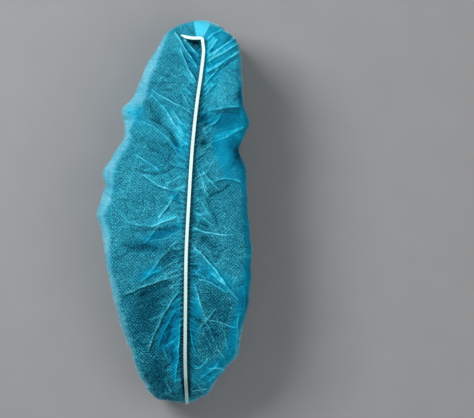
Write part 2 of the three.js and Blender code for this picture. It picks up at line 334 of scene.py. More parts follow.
def lay_creases(x, y, table, crest=0.35):
    """Height of ridges and valleys, the way to the nearest line, and how strong that line is.

    A row: line, rise, half width, gentle side. The way is below 0 on the steep side of a ridge.
    The crest is the share of a ridge's rise that is in its sharp top.
    """
    height, strength = np.zeros_like(x), np.zeros_like(x)
    to_line = np.full_like(x, FAR)
    for row in table:
        line = bent_line(row)
        rise, half, gentle = row[RISE:]
        spots, gap, _, along, hand = measure(x, y, line, 5 * half * (1 + GENTLE * abs(gentle)))
        gentle_side = hand * (gentle or 1) > 0
        wide = half * np.where(gentle_side, 1 + GENTLE * abs(gentle), 1)
        fade = smooth_step(along, 0, START_SHARE) * smooth_step(1 - along, 0, END_SHARE)
        if rise < 0:
            shape = np.exp(-((gap / wide) ** 2))
        else:
            shape = crest * np.exp(-gap / CREST_HALF) + (1 - crest) * np.exp(-gap / wide)
        height[spots] += rise * fade * shape
        drawn = rise * fade * min(1, NARROW / half)
        here, there = (np.maximum(np.abs(v), 0.05) for v in (drawn, strength[spots]))
        closer = gap * there < np.abs(to_line[spots]) * here
        to_line[spots] = np.where(closer, np.where(gentle_side, gap, -gap), to_line[spots])
        strength[spots] = np.where(closer, drawn, strength[spots])
    return height, to_line, strength


def draw_to_creases(x, y, table, room):
    """Moves points that are within room of a ridge towards its line."""
    x, y = x.copy(), y.copy()
    for row in [row for row in table if row[RISE] > 0]:
        line = bent_line(row)
        spots, gap, to_line, _, _ = measure(x, y, line, room)
        pull = DRAWN * np.clip(1 - gap / room, 0, 1)
        x[spots] += pull * to_line[:, 0]
        y[spots] += pull * to_line[:, 1]
    return x, y


# %% The main creases of the sole
CREASES = [  # x and station of start, middle and end, then rise, half width and gentle side
    # heel, left of the seam
    (-1, 8, 10.5, 27, 23.5, 46, 2.2, 0.8, 1),
    (7, 15, 15.7, 25, 24, 34, 1.9, 0.7, 1),
    (14, 17, 18, 21, 23.5, 27, 1.6, 0.6, 1),
    (4, 22, 11.5, 41.5, 22, 58.5, 1.9, 0.8, 1),
    (6, 54, 11, 60, 18, 66, 1.2, 0.8, 1),
    (5, 61, 8.8, 68, 13, 75, 1.5, 0.8, 1),
    (-22, 58, -7, 68, 10, 76, 1.8, 1.8, 0.5),
    (-28, 67, -18, 80, -9, 94, -0.9, 3.6, 0),
    (-3, 96, 1, 105, 5, 116, -0.9, 2.4, 0),
    (-23, 62, -6.5, 80, 9, 106, 1.4, 1.6, 0.6),
    (-11, 72, -7.5, 78, -5, 84, 1.2, 0.9, 0.5),
    (-5, 83, -2, 89, 0, 95, 1.3, 0.9, 0.5),
    (2, 90, 5.5, 95, 8, 101, 1.3, 0.9, -0.5),
    (-1, 95, 3.5, 102, 6.5, 110, 1.3, 0.9, 0.5),
    (-30, 87, -10, 98, 5, 120, 1.9, 2.8, 0.8),
    (-24, 84, -6.5, 94, 3.5, 113, -1.2, 1.4, 0),
    (-3, 76, 4, 86, 12, 95, 1.2, 1.2, 0.5),
    # heel, right of the seam
    (26, 19, 33, 12, 44, 6, 1.5, 1.9, -1),
    (27, 33, 38, 25, 55, 13, 2.0, 2.1, -1),
    (29, 29, 40, 21, 54, 10, -1.2, 1.8, 0),
    (27, 37, 41, 28, 57, 19, 2.0, 2.0, -1),
    (28, 42, 42, 33, 58, 22, -1.0, 1.6, 0),
    (26, 46, 40, 37, 58, 25, 2.1, 2.2, -1),
    (28, 49, 40, 41, 57, 30, -1.1, 1.6, 0),
    (25, 57, 30, 50, 39, 40, 1.6, 2.0, -1),
    (25, 65, 29, 61, 36, 53, 0.9, 1.6, -1),
    (27, 78, 44, 75, 59, 74, 1.7, 2.0, -1),
    (34, 80, 46, 79, 60, 80, -1.8, 3.4, 0),
    (22, 94, 34, 88, 40, 79, 1.4, 1.3, -0.6),
    (33, 100, 45, 96, 57, 92, 1.2, 2.4, 0.6),
    (24, 108, 44, 100, 62, 90, 2.2, 3.6, 1),
    (21, 90, 25, 91, 30, 90, -1.6, 3.0, 0),
    (22, 106, 26, 106, 31, 104, -2.0, 3.0, 0),
    # middle, left of the seam
    (-8, 105, -3, 111, 3, 118, -1.4, 2.2, 0),
    (2, 120, 5, 123, 9, 124, 1.0, 1.0, 0),
    (-36, 115, -23, 122, -12, 131, 1.2, 1.2, 0.6),
    (-38, 126, -16, 132, 3, 123, -1.0, 1.5, 0),
    (-29, 131, -14, 142, 3, 147, 1.7, 1.0, -0.7),
    (-10, 140, -2, 138, 5, 132, 1.0, 0.9, 0),
    (3, 147, -7, 160, -16, 173, 1.7, 1.5, 0.5),
    (5, 168, -12, 174, -22, 178, 1.8, 1.3, 1),
    (3, 177, -16, 180, -38, 181, -1.5, 2.4, 0),
    (-44, 173, -30, 176, -16, 178, 1.0, 1.0, -1),
    (-13, 175, -20, 184, -28, 194, 1.5, 1.8, 0.6),
    (4, 189, -10, 202, -28, 226, 1.7, 2.4, 0.8),
    (-46, 193, -34, 196, -18, 195, -1.2, 3.2, 0),
    (-24, 190, -8, 187, 5, 180, 1.2, 1.2, 0.6),
    (-12, 213, -3, 206, 4, 197, -1.9, 5.0, 0),
    (5, 206, -12, 214, -34, 227, 1.5, 1.8, 0.6),
    (4, 214, -10, 220, -20, 224, 1.0, 1.2, 0.6),
    # middle, right of the seam
    (23, 128, 31, 139, 39.5, 146, 1.7, 0.8, 0.5),
    (23.5, 138, 25.5, 146, 30, 151, 1.4, 0.8, 0.4),
    (22.5, 141, 28, 138.5, 35, 139.5, 1.2, 0.8, 0.4),
    (33, 139, 46, 136, 59, 141, 1.5, 1.0, -0.4),
    (18, 124, 22, 133, 29, 148, 1.2, 1.0, 0.4),
    (28, 152, 41, 146, 48, 140, -1.1, 1.0, 0),
    (27, 154, 33, 166, 37, 177, -1.1, 1.0, 0),
    (15, 150, 24, 158, 32, 172, 1.0, 1.0, 0.4),
    (14, 162, 25, 170.5, 35, 178, 1.3, 0.8, 0.5),
    (15, 177, 31, 183, 55, 184, 1.8, 1.0, 1),
    (21, 174, 25, 176, 30, 178, -1.4, 2.4, 0),
    (22, 188, 30, 192, 38, 198, -1.3, 3.4, 0),
    (14, 193, 29, 208, 46, 230, 1.9, 1.1, 1),
    # toe, left of the seam
    (-3, 221, -25, 228, -48, 238, 1.8, 1.1, 1),
    (-2, 227, -16, 231, -34, 240, -1.4, 2.6, 0),
    (5, 231, -12, 257, -25, 290, 2.1, 1.1, 1),
    (2, 248, -8, 264, -16, 284, 1.2, 1.0, 0.6),
    (4.5, 258, 3, 285, -0.5, 317, 1.8, 1.0, 1),
    (-3, 262, -6, 272, -9, 281, -1.6, 2.8, 0),
    (-5, 285, -3, 295, -2, 305, 1.1, 1.0, 0.6),
    (-9, 253.5, -16, 256, -24, 257.5, 1.2, 0.8, 0.5),
    (-11, 281, -8, 289, -4.5, 297, 1.2, 0.8, -0.5),
    (-9, 308, -6, 315, -2, 322, 1.3, 0.8, 0.5),
    (-10, 320, -4, 323.5, 3, 326, 1.0, 0.8, 0.5),
    # toe, right of the seam
    (28, 215, 44, 229, 56, 243, 1.5, 1.0, 1),
    (18, 222, 33, 227, 46, 236, 1.5, 1.0, 1),
    (16, 223, 24.5, 252, 36.5, 283, 1.6, 1.0, 0.5),
    (36, 247, 28, 256.5, 19.5, 267, 1.6, 0.8, 0.4),
    (23, 266, 27, 274, 32, 283, 1.3, 0.8, -0.5),
    (34, 279, 39, 286, 44, 292, 1.1, 1.0, 0.5),
    (38, 258, 43, 272, 46, 286, 1.0, 1.1, 0),
    (15, 299, 22, 298, 29, 290, 1.4, 1.0, 1),
    (20, 309, 30, 302, 38, 294, 1.0, 1.0, 0.5),
    (27, 300.5, 35, 299.5, 43, 301.5, 1.2, 0.9, 0.5),
    (13, 319.5, 20, 318.5, 28.5, 317, 1.5, 0.9, 0.4),
    (13.8, 255, 13.2, 270, 18.5, 289, 1.7, 0.8, 0.3),
    (27, 257, 42, 261, 53, 265, 1.3, 0.9, 0.5),
    (55, 250, 53, 268, 52, 288, 1.2, 1.8, 0.6),
    (58, 228, 60, 240, 57, 254, 1.0, 1.8, -0.6),
    (44, 300, 36, 305, 27, 313, 1.0, 1.6, 0.6),
    # the hollow under the loose end of the elastic
    (10, 17, 15, 18.5, 21, 20, -3.2, 2.4, 0),
    (15, 18, 18, 20.5, 22, 26, -3.0, 2.0, 0),
]
print(len(CREASES), "main creases")

# %% Small creases by dice
GATHER_PITCH = 4.6
SLANT = [(20, -0.9), (110, -0.6), (200, 0.2), (320, 1.1)]  # station, mm towards the toe per mm out


def table_at(place, rows, column=1):
    """The value in a column of a table at a place along its first column."""
    table = np.array(rows, float)
    return np.interp(place, table[:, 0], table[:, column])


def gathers_beside_seam():
    """Short gathers that leave the seam up and out at the heel, and down and out at the toe."""
    made = []
    for hand in (-1, 1):
        for even_place in np.arange(20, 318, GATHER_PITCH):
            place = even_place + dice.uniform(-2, 2)
            slant = table_at(place, SLANT) + dice.normal(0, 0.25)
            long, rise, half = dice.uniform(6, 17), dice.uniform(0.5, 1.2), dice.uniform(0.7, 1.1)
            x = float(seam_x(place)) + hand * 2.5
            bow = dice.uniform(-1, 1)
            out, down = hand * long, slant * long
            line = (x, place, x + out / 2, place + down / 2 + bow, x + out, place + down)
            made.append((*line, rise, half, hand * np.sign(slant)))
    return made


def crumples(places, lean, long, rise, half):
    """Short creases of random way and size at the given places."""
    made = []
    for x, y in places:
        angle, reach = lean + dice.normal(0, 0.7), dice.uniform(*long) / 2
        dx, dy = reach * math.cos(angle), reach * math.sin(angle)
        bow = dice.uniform(-2, 2)
        height = dice.choice((-1, 1)) * dice.uniform(*rise)
        shape = height, dice.uniform(*half), dice.uniform(-1, 1)
        made.append((x - dx, y - dy, x + bow, y + bow, x + dx, y + dy, *shape))
    return made


far_places = dice.uniform((-64, 5), (66, 325), (280, 2))
far_crumples = crumples(far_places, lean=0.2, long=(7, 24), rise=(0.25, 0.7), half=(0.6, 1.3))
close_places = np.c_[dice.normal(0, 11, 240), dice.uniform(22, 318, 240)]
close_places[:, 0] += seam_x(close_places[:, 1])
close_crumples = crumples(close_places, lean=0.5, long=(4, 12), rise=(0.3, 0.9), half=(0.6, 1.0))
small_rows = gathers_beside_seam() + far_crumples + close_crumples
print(len(small_rows), "small creases")

# %% Lay the creases on the sole
DRAW_ROOM = 1.5
station = LENGTH / 2 - base[..., 1]
on_sole = smooth_step(normal[..., 2], 0.0, 0.5)
drawn_x, drawn_station = draw_to_creases(base[..., 0], station, CREASES, DRAW_ROOM)
base[..., 0] += on_sole * (drawn_x - base[..., 0])
base[..., 1] -= on_sole * (drawn_station - station)
station = LENGTH / 2 - base[..., 1]
main, main_way, main_line = lay_creases(base[..., 0], station, CREASES)
small, small_way, small_line = lay_creases(base[..., 0], station, small_rows)
print("creases lift the sole by", main.min().round(1), "to", main.max().round(1), "mm")

# %% [markdown]
# ## Beside the seam
# The gathers climb the sewn edges as a row of small teeth. Towards the toe the fabric dives down
# beside the seam into a narrow trench. Behind the heel end of the seam a flat pleat fans out to the
# edge. Teeth and trench follow the distance from the seam, and the pleat lies between two straight
# edges, so all three are short formulas and not rows of a table of lines.

# %% Teeth and trench
STITCH_PITCH, TOOTH_PITCH = 2.8, 4.3
TRENCH_EDGE, TRENCH_HALF = 2.2, 1.3  # mm from the seam, mm
TRENCH = [(20, 0.0), (90, 0.4), (200, 0.5), (260, 1.2), (310, 2.4)]  # station, depth
CLIMB = [  # station, then how high the teeth reach at the left and at the right
    (15, 2.4, 4.6),
    (60, 3.2, 4.4),
    (200, 3.4, 3.8),
    (270, 2.4, 2.4),
    (320, 1.2, 0.8),
]
from_seam = np.abs(base[..., 0] - seam_x(station))
from_fin = np.maximum(from_seam - FIN_FOOT, 0)
between_ends = smooth_step(np.minimum(station - SEAM_START, SEAM_END + 6 - station), 0, 8)


def beside_seam(edge, half):
    """1 up to an edge beside the seam, and a soft fall past it."""
    return np.exp(-((np.maximum(from_seam - edge, 0) / half) ** 2)) * between_ends


trench = beside_seam(TRENCH_EDGE, TRENCH_HALF) * table_at(station, TRENCH)
tooth = 2 * np.pi * (station - table_at(station, SLANT) * from_seam) / TOOTH_PITCH
teeth = 0.5 + 0.5 * np.sin(tooth + 1.3 * np.sin(station / 9) + side[:, None])
climb = np.where(on_left, table_at(station, CLIMB, 1), table_at(station, CLIMB, 2))
tooth_share = np.where(~on_left & (station < 60), 0.2, 0.6)
climb *= 1 - tooth_share * (1 - teeth)
puckers = climb * np.exp(-from_fin / (1.6 + climb / 2)) * between_ends
print("teeth reach", puckers.max().round(1), "mm and the trench", trench.max().round(1), "mm")

# %% Heel pleat
PLEAT_LEFT, PLEAT_RIGHT = (16.1, 0.17), (31.9, -0.5)  # x at the heel's edge, and its change per mm
PLEAT_HEIGHT, FOLD_HALF = 0.9, 0.4  # of the pleat and of its folded edges, mm


def fade_out(value, low, high, share=1.0):
    """Falls softly from 1 to 1 - share between low and high."""
    return 1 - share * smooth_step(value, low, high)


def right_of(line):
    """How far the points are to the right of an edge of the pleat."""
    return base[..., 0] - (line[0] + line[1] * station)


heel_pleat = smooth_step(right_of(PLEAT_LEFT), -FOLD_HALF, FOLD_HALF)
heel_pleat *= smooth_step(-right_of(PLEAT_RIGHT), -FOLD_HALF, FOLD_HALF)
heel_pleat *= fade_out(station, 12.5, 15.5) * fade_out(below_edge, 6, 26)
print("points on the heel pleat:", int((heel_pleat > 0.5).sum()))

# %% All creases of the sole together
SMALL_LINES = 0.85  # how strong the lines of small creases are


def nearer_line(way_a, line_a, way_b, line_b):
    """Of two sets of crease lines, the one that shows more at each place."""
    first = np.abs(line_a) * np.exp(-np.abs(way_a)) >= np.abs(line_b) * np.exp(-np.abs(way_b))
    return np.where(first, way_a, way_b), np.where(first, line_a, line_b)


taut = smooth_step(from_seam, 1.3, 5) * (1 - heel_pleat)
creased = on_sole * (taut * (main + small) + puckers - trench) + PLEAT_HEIGHT * heel_pleat
crease_way, crease_line = nearer_line(main_way, main_line, small_way, SMALL_LINES * small_line)
crease_line = crease_line * on_sole * taut
print("sole from", creased.min().round(1), "to", creased.max().round(1), "mm")

# %% [markdown]
# ## Flanks and underside
# The gathers of the hem run up the flanks. Close to the hem they are many and small. Higher up they
# join into fewer and broader folds, which die out below the edge of the sole. Waves round the cover
# make the regular part of that. Long folds and crumples by dice make the rest, with the functions
# of the sole's creases: x is now the way round the cover, and y the way down the flank. The flank is
# set in a little and the tops of its folds are flattened, so that they keep inside the outline.

# %% Waves round the flanks
FOLD_WAVES = [  # height, folds, drift, wander, sharpness, middle, two unevennesses, where it rises
    (4.2, 15, 0.5, 0.8, 1.8, 0.5, 4, 6, 0.04, 0.4),
    (3.4, 38, -0.6, 0.9, 1.2, 0.55, 6, 10, 0.15, 0.6),
    (2.2, 94, 0.8, 1.3, 0.6, 0.8, 10, 14, 0.3, 0.7),
]


def folds_round(count, drift, wander, sharp):
    """Folds round the cover, from 0 to 1: narrow ridges where sharp is above 1, narrow valleys below."""
    bend = np.sin(3 * np.pi * turn + 0.7) + np.sin(5 * np.pi * turn + count)
    angle = np.pi * turn[:, None] * count + drift * below_edge / 40 + wander * bend[:, None]
    return (0.5 + 0.5 * np.cos(angle)) ** sharp


def uneven(a, b):
    """A strength that changes round the cover."""
    return 0.65 + 0.35 * np.sin(a * np.pi * turn + 1) * np.sin(b * np.pi * turn + 2)


down = np.clip(below_edge / below_edge[:, -1:], 0, 1)
waves = np.zeros_like(down)
for height, count, drift, wander, sharp, middle, a, b, low, high in FOLD_WAVES:
    folds = folds_round(count, drift, wander, sharp) - middle
    waves += height * folds * uneven(a, b)[:, None] * smooth_step(down, low, high)
print("waves from", waves.min().round(1), "to", waves.max().round(1), "mm")

# %% Folds of the flanks by dice
FOLD_FOOT = 104.0  # mm below the edge of the sole, where long folds start


def flank_folds(count):
    """Long folds that climb the flank from the gathered hem."""
    made = []
    for place in (np.arange(count) + dice.uniform(0, 1, count)) * perimeter / count:
        top, lean = dice.uniform(2, 44), dice.normal(0, 10)
        rise = dice.choice((-0.8, 1.0, 1.0)) * dice.uniform(1.6, 4.0)
        line = (place + lean, top, place + dice.uniform(-4, 4), (top + FOLD_FOOT) / 2, place, FOLD_FOOT)
        made.append((*line, rise, dice.uniform(1.8, 3.2), dice.choice((-1, 1))))
    return made


def folds_over_edge(count):
    """Folds that run from the sole over its edge and down the flank."""
    made = []
    for place in dice.uniform(0, perimeter, count):
        top, low, lean = dice.uniform(-13, -3), dice.uniform(12, 60), dice.normal(0, 7)
        rise = dice.choice((-1, 1)) * dice.uniform(0.25, 0.8)
        middle = place + lean / 2 + dice.uniform(-2, 2)
        line = (place, top, middle, (top + low) / 2, place + lean, low)
        made.append((*line, rise, dice.uniform(1.4, 2.8), dice.uniform(-1, 1)))
    return made


def round_the_cover(rows):
    """The rows again on both sides, so that a fold can cross the first column."""
    made = []
    for x0, y0, x1, y1, x2, y2, *shape in rows:
        for shift in (-perimeter, 0, perimeter):
            made.append((x0 + shift, y0, x1 + shift, y1, x2 + shift, y2, *shape))
    return made


flank_places = np.c_[dice.uniform(0, perimeter, 90), dice.uniform(14, 80, 90)]
flank_rows = flank_folds(64)
flank_rows += crumples(flank_places, lean=1.2, long=(16, 44), rise=(0.7, 1.8), half=(2.0, 3.2))
edge_rows = folds_over_edge(90)
flank, flank_to, flank_line = lay_creases(way_round, below_edge, round_the_cover(flank_rows), crest=0.0)
over, over_to, over_line = lay_creases(way_round, below_edge, round_the_cover(edge_rows), crest=0.1)
print(len(flank_rows), "folds on the flanks and", len(edge_rows), "over the edge")

# %% Lift the cloth
FLANK_INSET, FOLD_CAP, PAST_CAP = 4.2, 0.2, 0.2  # mm, mm, and the share kept of what is higher
HEM_PLEATS, PLEAT_REACH, PLEAT_DEPTH = 78, 42, 2.6
FLANK_LINES = 0.22  # how strong the lines of flank folds are
upright = fade_out(np.abs(normal[..., 2]), 0.35, 0.95)
standing = smooth_step(normal[..., 2], -0.9, -0.3) * (1 - heel_pleat)
to_mouth = np.linalg.norm(base[..., :2] - opening(side, share, HEM_WIDTH / 2)[:, None], axis=-1)
under = np.where(normal[..., 2] < 0, np.clip(1 - to_mouth / PLEAT_REACH, 0, 1), 0)
pleat = 0.5 + 0.3 * np.cos(HEM_PLEATS / 3 * np.pi * turn) + 0.2 * np.cos(HEM_PLEATS * np.pi * turn)
flank_lift = flank + waves - FLANK_INSET * smooth_step(below_edge, 4, 30)
flank_lift -= (1 - PAST_CAP) * np.maximum(flank_lift - FOLD_CAP, 0)
gathered = upright * flank_lift - under * PLEAT_DEPTH * pleat[:, None]
lift = creased + gathered * smooth_step(below_edge, 0, 14) + over * standing
flank_line *= FLANK_LINES * upright
flank_to, flank_line = nearer_line(flank_to, flank_line, over_to, over_line * standing)
crease_way, crease_line = nearer_line(crease_way, crease_line, flank_to, flank_line)
cloth = base + normal * lift[..., None]
cloth[..., 2] = np.maximum(cloth[..., 2], 0)
print("cloth:", cloth.min((0, 1)).round(1), cloth.max((0, 1)).round(1))

# %% [markdown]
# ## The sheet as a mesh
# The outer face of the sheet carries every crease, so it has the fine grid. The inner face is
# hardly seen and takes every fourth column and row. A Solidify modifier would double the fine grid
# instead. Along the seam the two sewn edges stand up as a fin that the elastic lies on, and it
# wavers a little from side to side.

# %% The fin along the seam
FIN_RISE, FIN_TAPER, FIN_WAVER = 5.0, 16.0, 0.35
FIN_ROWS = [  # mm from the seam, share of the fin's height
    (0, 1),
    (0.7, 1),
    (1.1, 0.97),
    (1.25, 0.85),
    (1.3, 0.5),
    (1.5, 0.1),
]


def fin_rise(station):
    """Height of the fin over the sole, which tapers off at both ends of the seam."""
    from_end = np.minimum(station - SEAM_START, SEAM_END - station)
    return FIN_RISE * smooth_step(from_end, 0, FIN_TAPER)


foot_drop = lift[:, 0]
fin = []
for out, part in FIN_ROWS:
    plan = start + outward * out
    place = LENGTH / 2 - plan[:, 1]
    rise = fin_rise(place)
    waver = FIN_WAVER * part * np.sin(place * 0.75 + 1.4 * np.sin(place * 0.13)) * rise / FIN_RISE
    height = sole_z(place) + part * rise + (1 - part) * foot_drop
    fin.append(np.c_[plan[:, 0] + waver, plan[:, 1], height])
outer = np.concatenate([np.stack(fin, 1), cloth], 1)
print("fin top at the middle:", outer[COLUMNS // 4, 0, 2].round(1), "mm up")

# %% The inner face
THICK, INNER_STEP = 0.9, 4


def lowest_nearby(values, reach):
    """The lowest value within some columns and rows, so that the inner face stays inside."""
    low = values
    for axis in (0, 1):
        low = np.minimum.reduce([np.roll(low, k, axis) for k in range(-reach, reach + 1)])
    return low


inner_rows = np.unique(np.r_[0:cloth.shape[1]:INNER_STEP, cloth.shape[1] - 1])
sunk = lowest_nearby(lift, 3)[::INNER_STEP, inner_rows] - THICK
inner = base[::INNER_STEP, inner_rows] + normal[::INNER_STEP, inner_rows] * sunk[..., None]
inner[..., 2] = np.maximum(inner[..., 2], THICK)
other_side = -np.arange(COLUMNS) % COLUMNS
lower_foot = np.minimum(foot_drop, foot_drop[other_side])
spine = np.c_[start, sole_z(LENGTH / 2 - start[:, 1]) + lower_foot - THICK][::INNER_STEP]
inner = np.concatenate([spine[:, None], inner], 1)
print("inner face:", inner.shape[:2])

# %% Helpers that make a mesh
def to_frame(points):
    """Table millimetres to metres in the frame."""
    moved = np.array(points, float).reshape(-1, 3)
    moved[:, :2] += SHIFT
    return moved / 1000


def mesh_object(name, points, faces, edges=()):
    """A new object from points in table millimetres."""
    mesh = bpy.data.meshes.new(name)
    mesh.from_pydata(to_frame(points).tolist(), edges, faces)
    piece = bpy.data.objects.new(name, mesh)
    bpy.context.scene.collection.objects.link(piece)
    return piece


def finish_mesh(piece, merge=0.0):
    """Shades a piece smooth, merges points that meet, and prints what it has."""
    work = bmesh.new()
    work.from_mesh(piece.data)
    if merge:
        bmesh.ops.remove_doubles(work, verts=work.verts, dist=merge)
        loose = [v for v in work.verts if not v.link_faces]
        bmesh.ops.delete(work, geom=loose, context="VERTS")
    for face in work.faces:
        face.smooth = True
    open_edges = sum(not e.is_manifold for e in work.edges)
    work.to_mesh(piece.data)
    work.free()
    triangles = sum(len(p.vertices) - 2 for p in piece.data.polygons)
    print(piece.name, "has", triangles, "triangles and", open_edges, "open edges")
    return piece


# %% Sew both faces into a closed sheet
n_out, n_in = outer.shape[1], inner.shape[1]
fine_rows = len(FIN_ROWS) + EDGE_ROW
points = np.concatenate([outer.reshape(-1, 3), inner.reshape(-1, 3)])
inner_count = inner.shape[0] * n_in


def out_at(column, row):
    return (column % COLUMNS) * n_out + row


def in_at(column, row):
    return COLUMNS * n_out + (column % (COLUMNS // INNER_STEP)) * n_in + row


def quad(at, column, row, step=1):
    """A face between two columns and two rows of points, which are numbered by at."""
    far = column + step
    return at(column, row), at(column, row + 1), at(far, row + 1), at(far, row)


def turned(corners):
    """The same face, seen from its other side."""
    a, b, c, d = corners
    return a, d, c, b


def two_to_one(a, b, c, d, e):
    """Three triangles between the points a, b, c of a fine row and d, e of a coarse one."""
    return [(a, d, b), (b, d, e), (b, e, c)]


faces = [quad(out_at, j, i) for j in range(COLUMNS) for i in range(fine_rows)]
for j in range(0, COLUMNS, 2):
    fine_points = (out_at(j + k, fine_rows) for k in range(3))
    faces += two_to_one(*fine_points, out_at(j, fine_rows + 1), out_at(j + 2, fine_rows + 1))
    faces += [quad(out_at, j, i, 2) for i in range(fine_rows + 1, n_out - 1)]
for j in range(COLUMNS // INNER_STEP):
    faces += [turned(quad(in_at, j, i)) for i in range(n_in - 1)]
    fine_points = (out_at(INNER_STEP * j + k, n_out - 1) for k in (0, 2, 4))
    faces += two_to_one(*fine_points, in_at(j, n_in - 1), in_at(j + 1, n_in - 1))
body = mesh_object("fabric_sheet", points, faces)
print("sheet has", len(points), "points")

# %% [markdown]
# ## Where the cloth is free and where it clings
# Thin cloth that clings shows what is under it and looks teal and dotted. Where it is free it looks
# smooth and deep blue. Each row of the table is one soft oval patch: how free it is, below 0 where it
# clings, and how light. Some rows of how light are painted shade, in hollows, folds and gaps and at
# the toe. They could be painted on an image, but a table can be read and changed.

# %% Patches
PATCHES = [  # x, station, half length, half width, turn in degrees, how free, how light
    # heel
    (31, 34, 30, 8, 94, 1.0, 0.8),
    (48, 30, 22, 10, 90, 0.4, 0.3),
    (0, 90, 20, 7, 57, 0.3, 0.45),
    (-33, 78, 14, 7, 90, 0.7, 0.6),
    (8, 110, 18, 5, 95, 0.5, 0.4),
    (49, 85, 15, 8, -8, 1.4, -0.3),
    # painted shade in the hollow under the loose end of the elastic
    (17.5, 19.5, 8, 2.6, 40, -0.6, -1.5),
    (21.5, 17.8, 3.5, 2.4, 30, -0.6, -1.7),
    # painted shade where the right margin folds under
    (57, 63, 10, 2.4, 88, 0.8, -1.5),
    (56, 38, 18, 6, 88, 0.2, 0.7),
    (27, 106, 7, 7, 0, -0.6, -0.7),
    (-18, 77, 14, 6, 53, -0.3, -0.4),
    (1, 107, 7, 3, 55, 0.4, -0.2),
    (25, 84, 5, 3.5, -30, 0.5, -0.9),
    (42, 88, 7, 5, -20, 0.3, -0.5),
    (38, 57, 20, 13, 90, 0.1, 0.4),
    (45, 99, 17, 5, -28, 0.5, 0.2),
    (15, 30, 12, 2.2, 52, 0.5, -0.6),
    (15.5, 42, 10, 1.8, 57, 0.2, -0.5),
    # middle
    (42, 118, 18, 5.5, 72, 1.3, 0.3),
    # painted shade in the neck of the right outline
    (53, 114, 14, 5, 73, 1.0, -1.5),
    (1, 152, 6, 2.5, 60, 0.4, -0.8),
    (-40, 155, 44, 16, 90, 0, 0.2),
    (-14, 130, 16, 8, 20, 0.3, 0.25),
    (-8, 173, 10, 5, -25, 0.5, 1.2),
    (-9, 182, 15, 3.4, -21, 1.0, -0.6),
    (-3, 205, 11, 8, -40, -0.6, -0.8),
    (-26, 195, 14, 4, 0, 0.3, -0.9),
    (30, 191, 12, 7, 20, -0.4, -0.4),
    (38, 222, 22, 8, 30, 0.9, 0.4),
    (-22, 218, 16, 6, -25, 0.8, 0.2),
    # toe
    # at the toe, light below 0 is painted shade, where the sole slopes away from the light
    (-34, 236, 26, 14, -20, -0.4, -0.45),
    (-24, 252, 22, 12, 120, -0.8, -1.1),
    (36, 247, 15, 10, 60, -0.7, -0.7),
    (26, 262, 40, 14, 80, -0.3, -0.3),
    (30, 275, 18, 8, 70, -0.4, -0.4),
    (-7, 268, 26, 7, 110, 1.6, -0.1),
    (1, 292, 30, 5, 95, 1.2, 0.3),
    (16, 264, 34, 6, 90, 1.2, 0.5),
    (52, 270, 30, 7, 100, 1.4, 0.4),
    (34, 301, 18, 12, -40, 1.4, 1.1),
    # painted shadow on the right edge
    (61, 243, 10, 4, 75, 1.0, -1.2),
    (21.5, 248, 10, 3, 75, 1.0, 0.9),
    (-15, 302, 28, 9, 80, -0.7, -0.8),
    (-3, 286, 8, 3.5, 100, 0.3, -0.7),
]


def soft_spot(x, place, long, wide, angle):
    """Falls from 1 at a place of the sole to 0 outside an oval, which is turned by the angle."""
    c, s = math.cos(math.radians(angle)), math.sin(math.radians(angle))
    right, ahead = base[..., 0] - x, station - place
    return np.exp(-(((c * right + s * ahead) / long) ** 2) - ((c * ahead - s * right) / wide) ** 2)


free, light = np.zeros_like(station), np.zeros_like(station)
for *oval, freer, lighter in PATCHES:
    spot = soft_spot(*oval)
    free += freer * spot
    light += lighter * spot
print("patches from", light.min().round(2), "to", light.max().round(2))

# %% [markdown]
# ## What the finish needs to know
# Past the edge of the sole a margin of the sheet is free, and light comes through its rim. The left
# side gets painted light there, the right side painted shade, and the outermost rim painted sheen.
# Ridges are lighter than valleys, and painted shade darkens the slots beside the fin, the gaps between
# the teeth and the toe. The finish reads all of this as attributes of the points: free, light and
# pale, the way to the nearest crease line and its strength, what is past the edge, the heel pleat,
# and the way round and down the flank, which the pressed pattern follows there. Attributes need no UV
# map and no image.

# %% The free margin
MARGINS = [  # station, then the width of the free margin at the left and at the right
    (0, 1, 1),
    (17, 3, 2),
    (34, 7, 3),
    (47, 9.5, 3),
    (64, 9, 2.5),
    (79, 11.5, 8),
    (94, 4.8, 9),
    (111, 5.4, 9),
    (127, 9.5, 6),
    (140, 8.5, 5),
    (165, 8, 4),
    (185, 6, 4),
    (215, 4.6, 6),
    (240, 4, 8),
    (266, 4.8, 7.5),
    (283, 3.4, 7),
    (300, 2.6, 6),
    (322, 1.5, 4),
    (330, 0, 1),
]
MARGIN_WAVES = [(1.3, 0.19, 0.047, 1), (0.5, 1.1, 0.31, 2)]  # mm, two turns per mm, start
span = np.linalg.norm(edge - start, axis=-1)[:, None]
from_edge = span - np.linalg.norm(base[..., :2] - start[:, None], axis=-1)
edge_station = LENGTH / 2 - edge[:, 1]
margin = np.where(side < 0, table_at(edge_station, MARGINS, 1), table_at(edge_station, MARGINS, 2))
for size, quick, slow, first in MARGIN_WAVES:
    margin += size * np.sin(quick * around) * np.sin(slow * around + first)
past_edge = smooth_step(margin[:, None] - from_edge, -3.2, 1.8)
past_edge = np.maximum(past_edge, smooth_step(below_edge, 0, 4))
print("margin from", margin.min().round(1), "to", margin.max().round(1), "mm")

# %% The pale rim
# the left margin is pale as free thin cloth, with painted light; its outermost rim gets painted sheen
WIDEST_T = 0.5  # where a rib is widest
RIM_HALF = 3.5
LEFT_PALE, LEFT_RIM_SHEEN, RIGHT_PALE, LOW_PALE = 0.5, 0.45, 0.4, 0.12
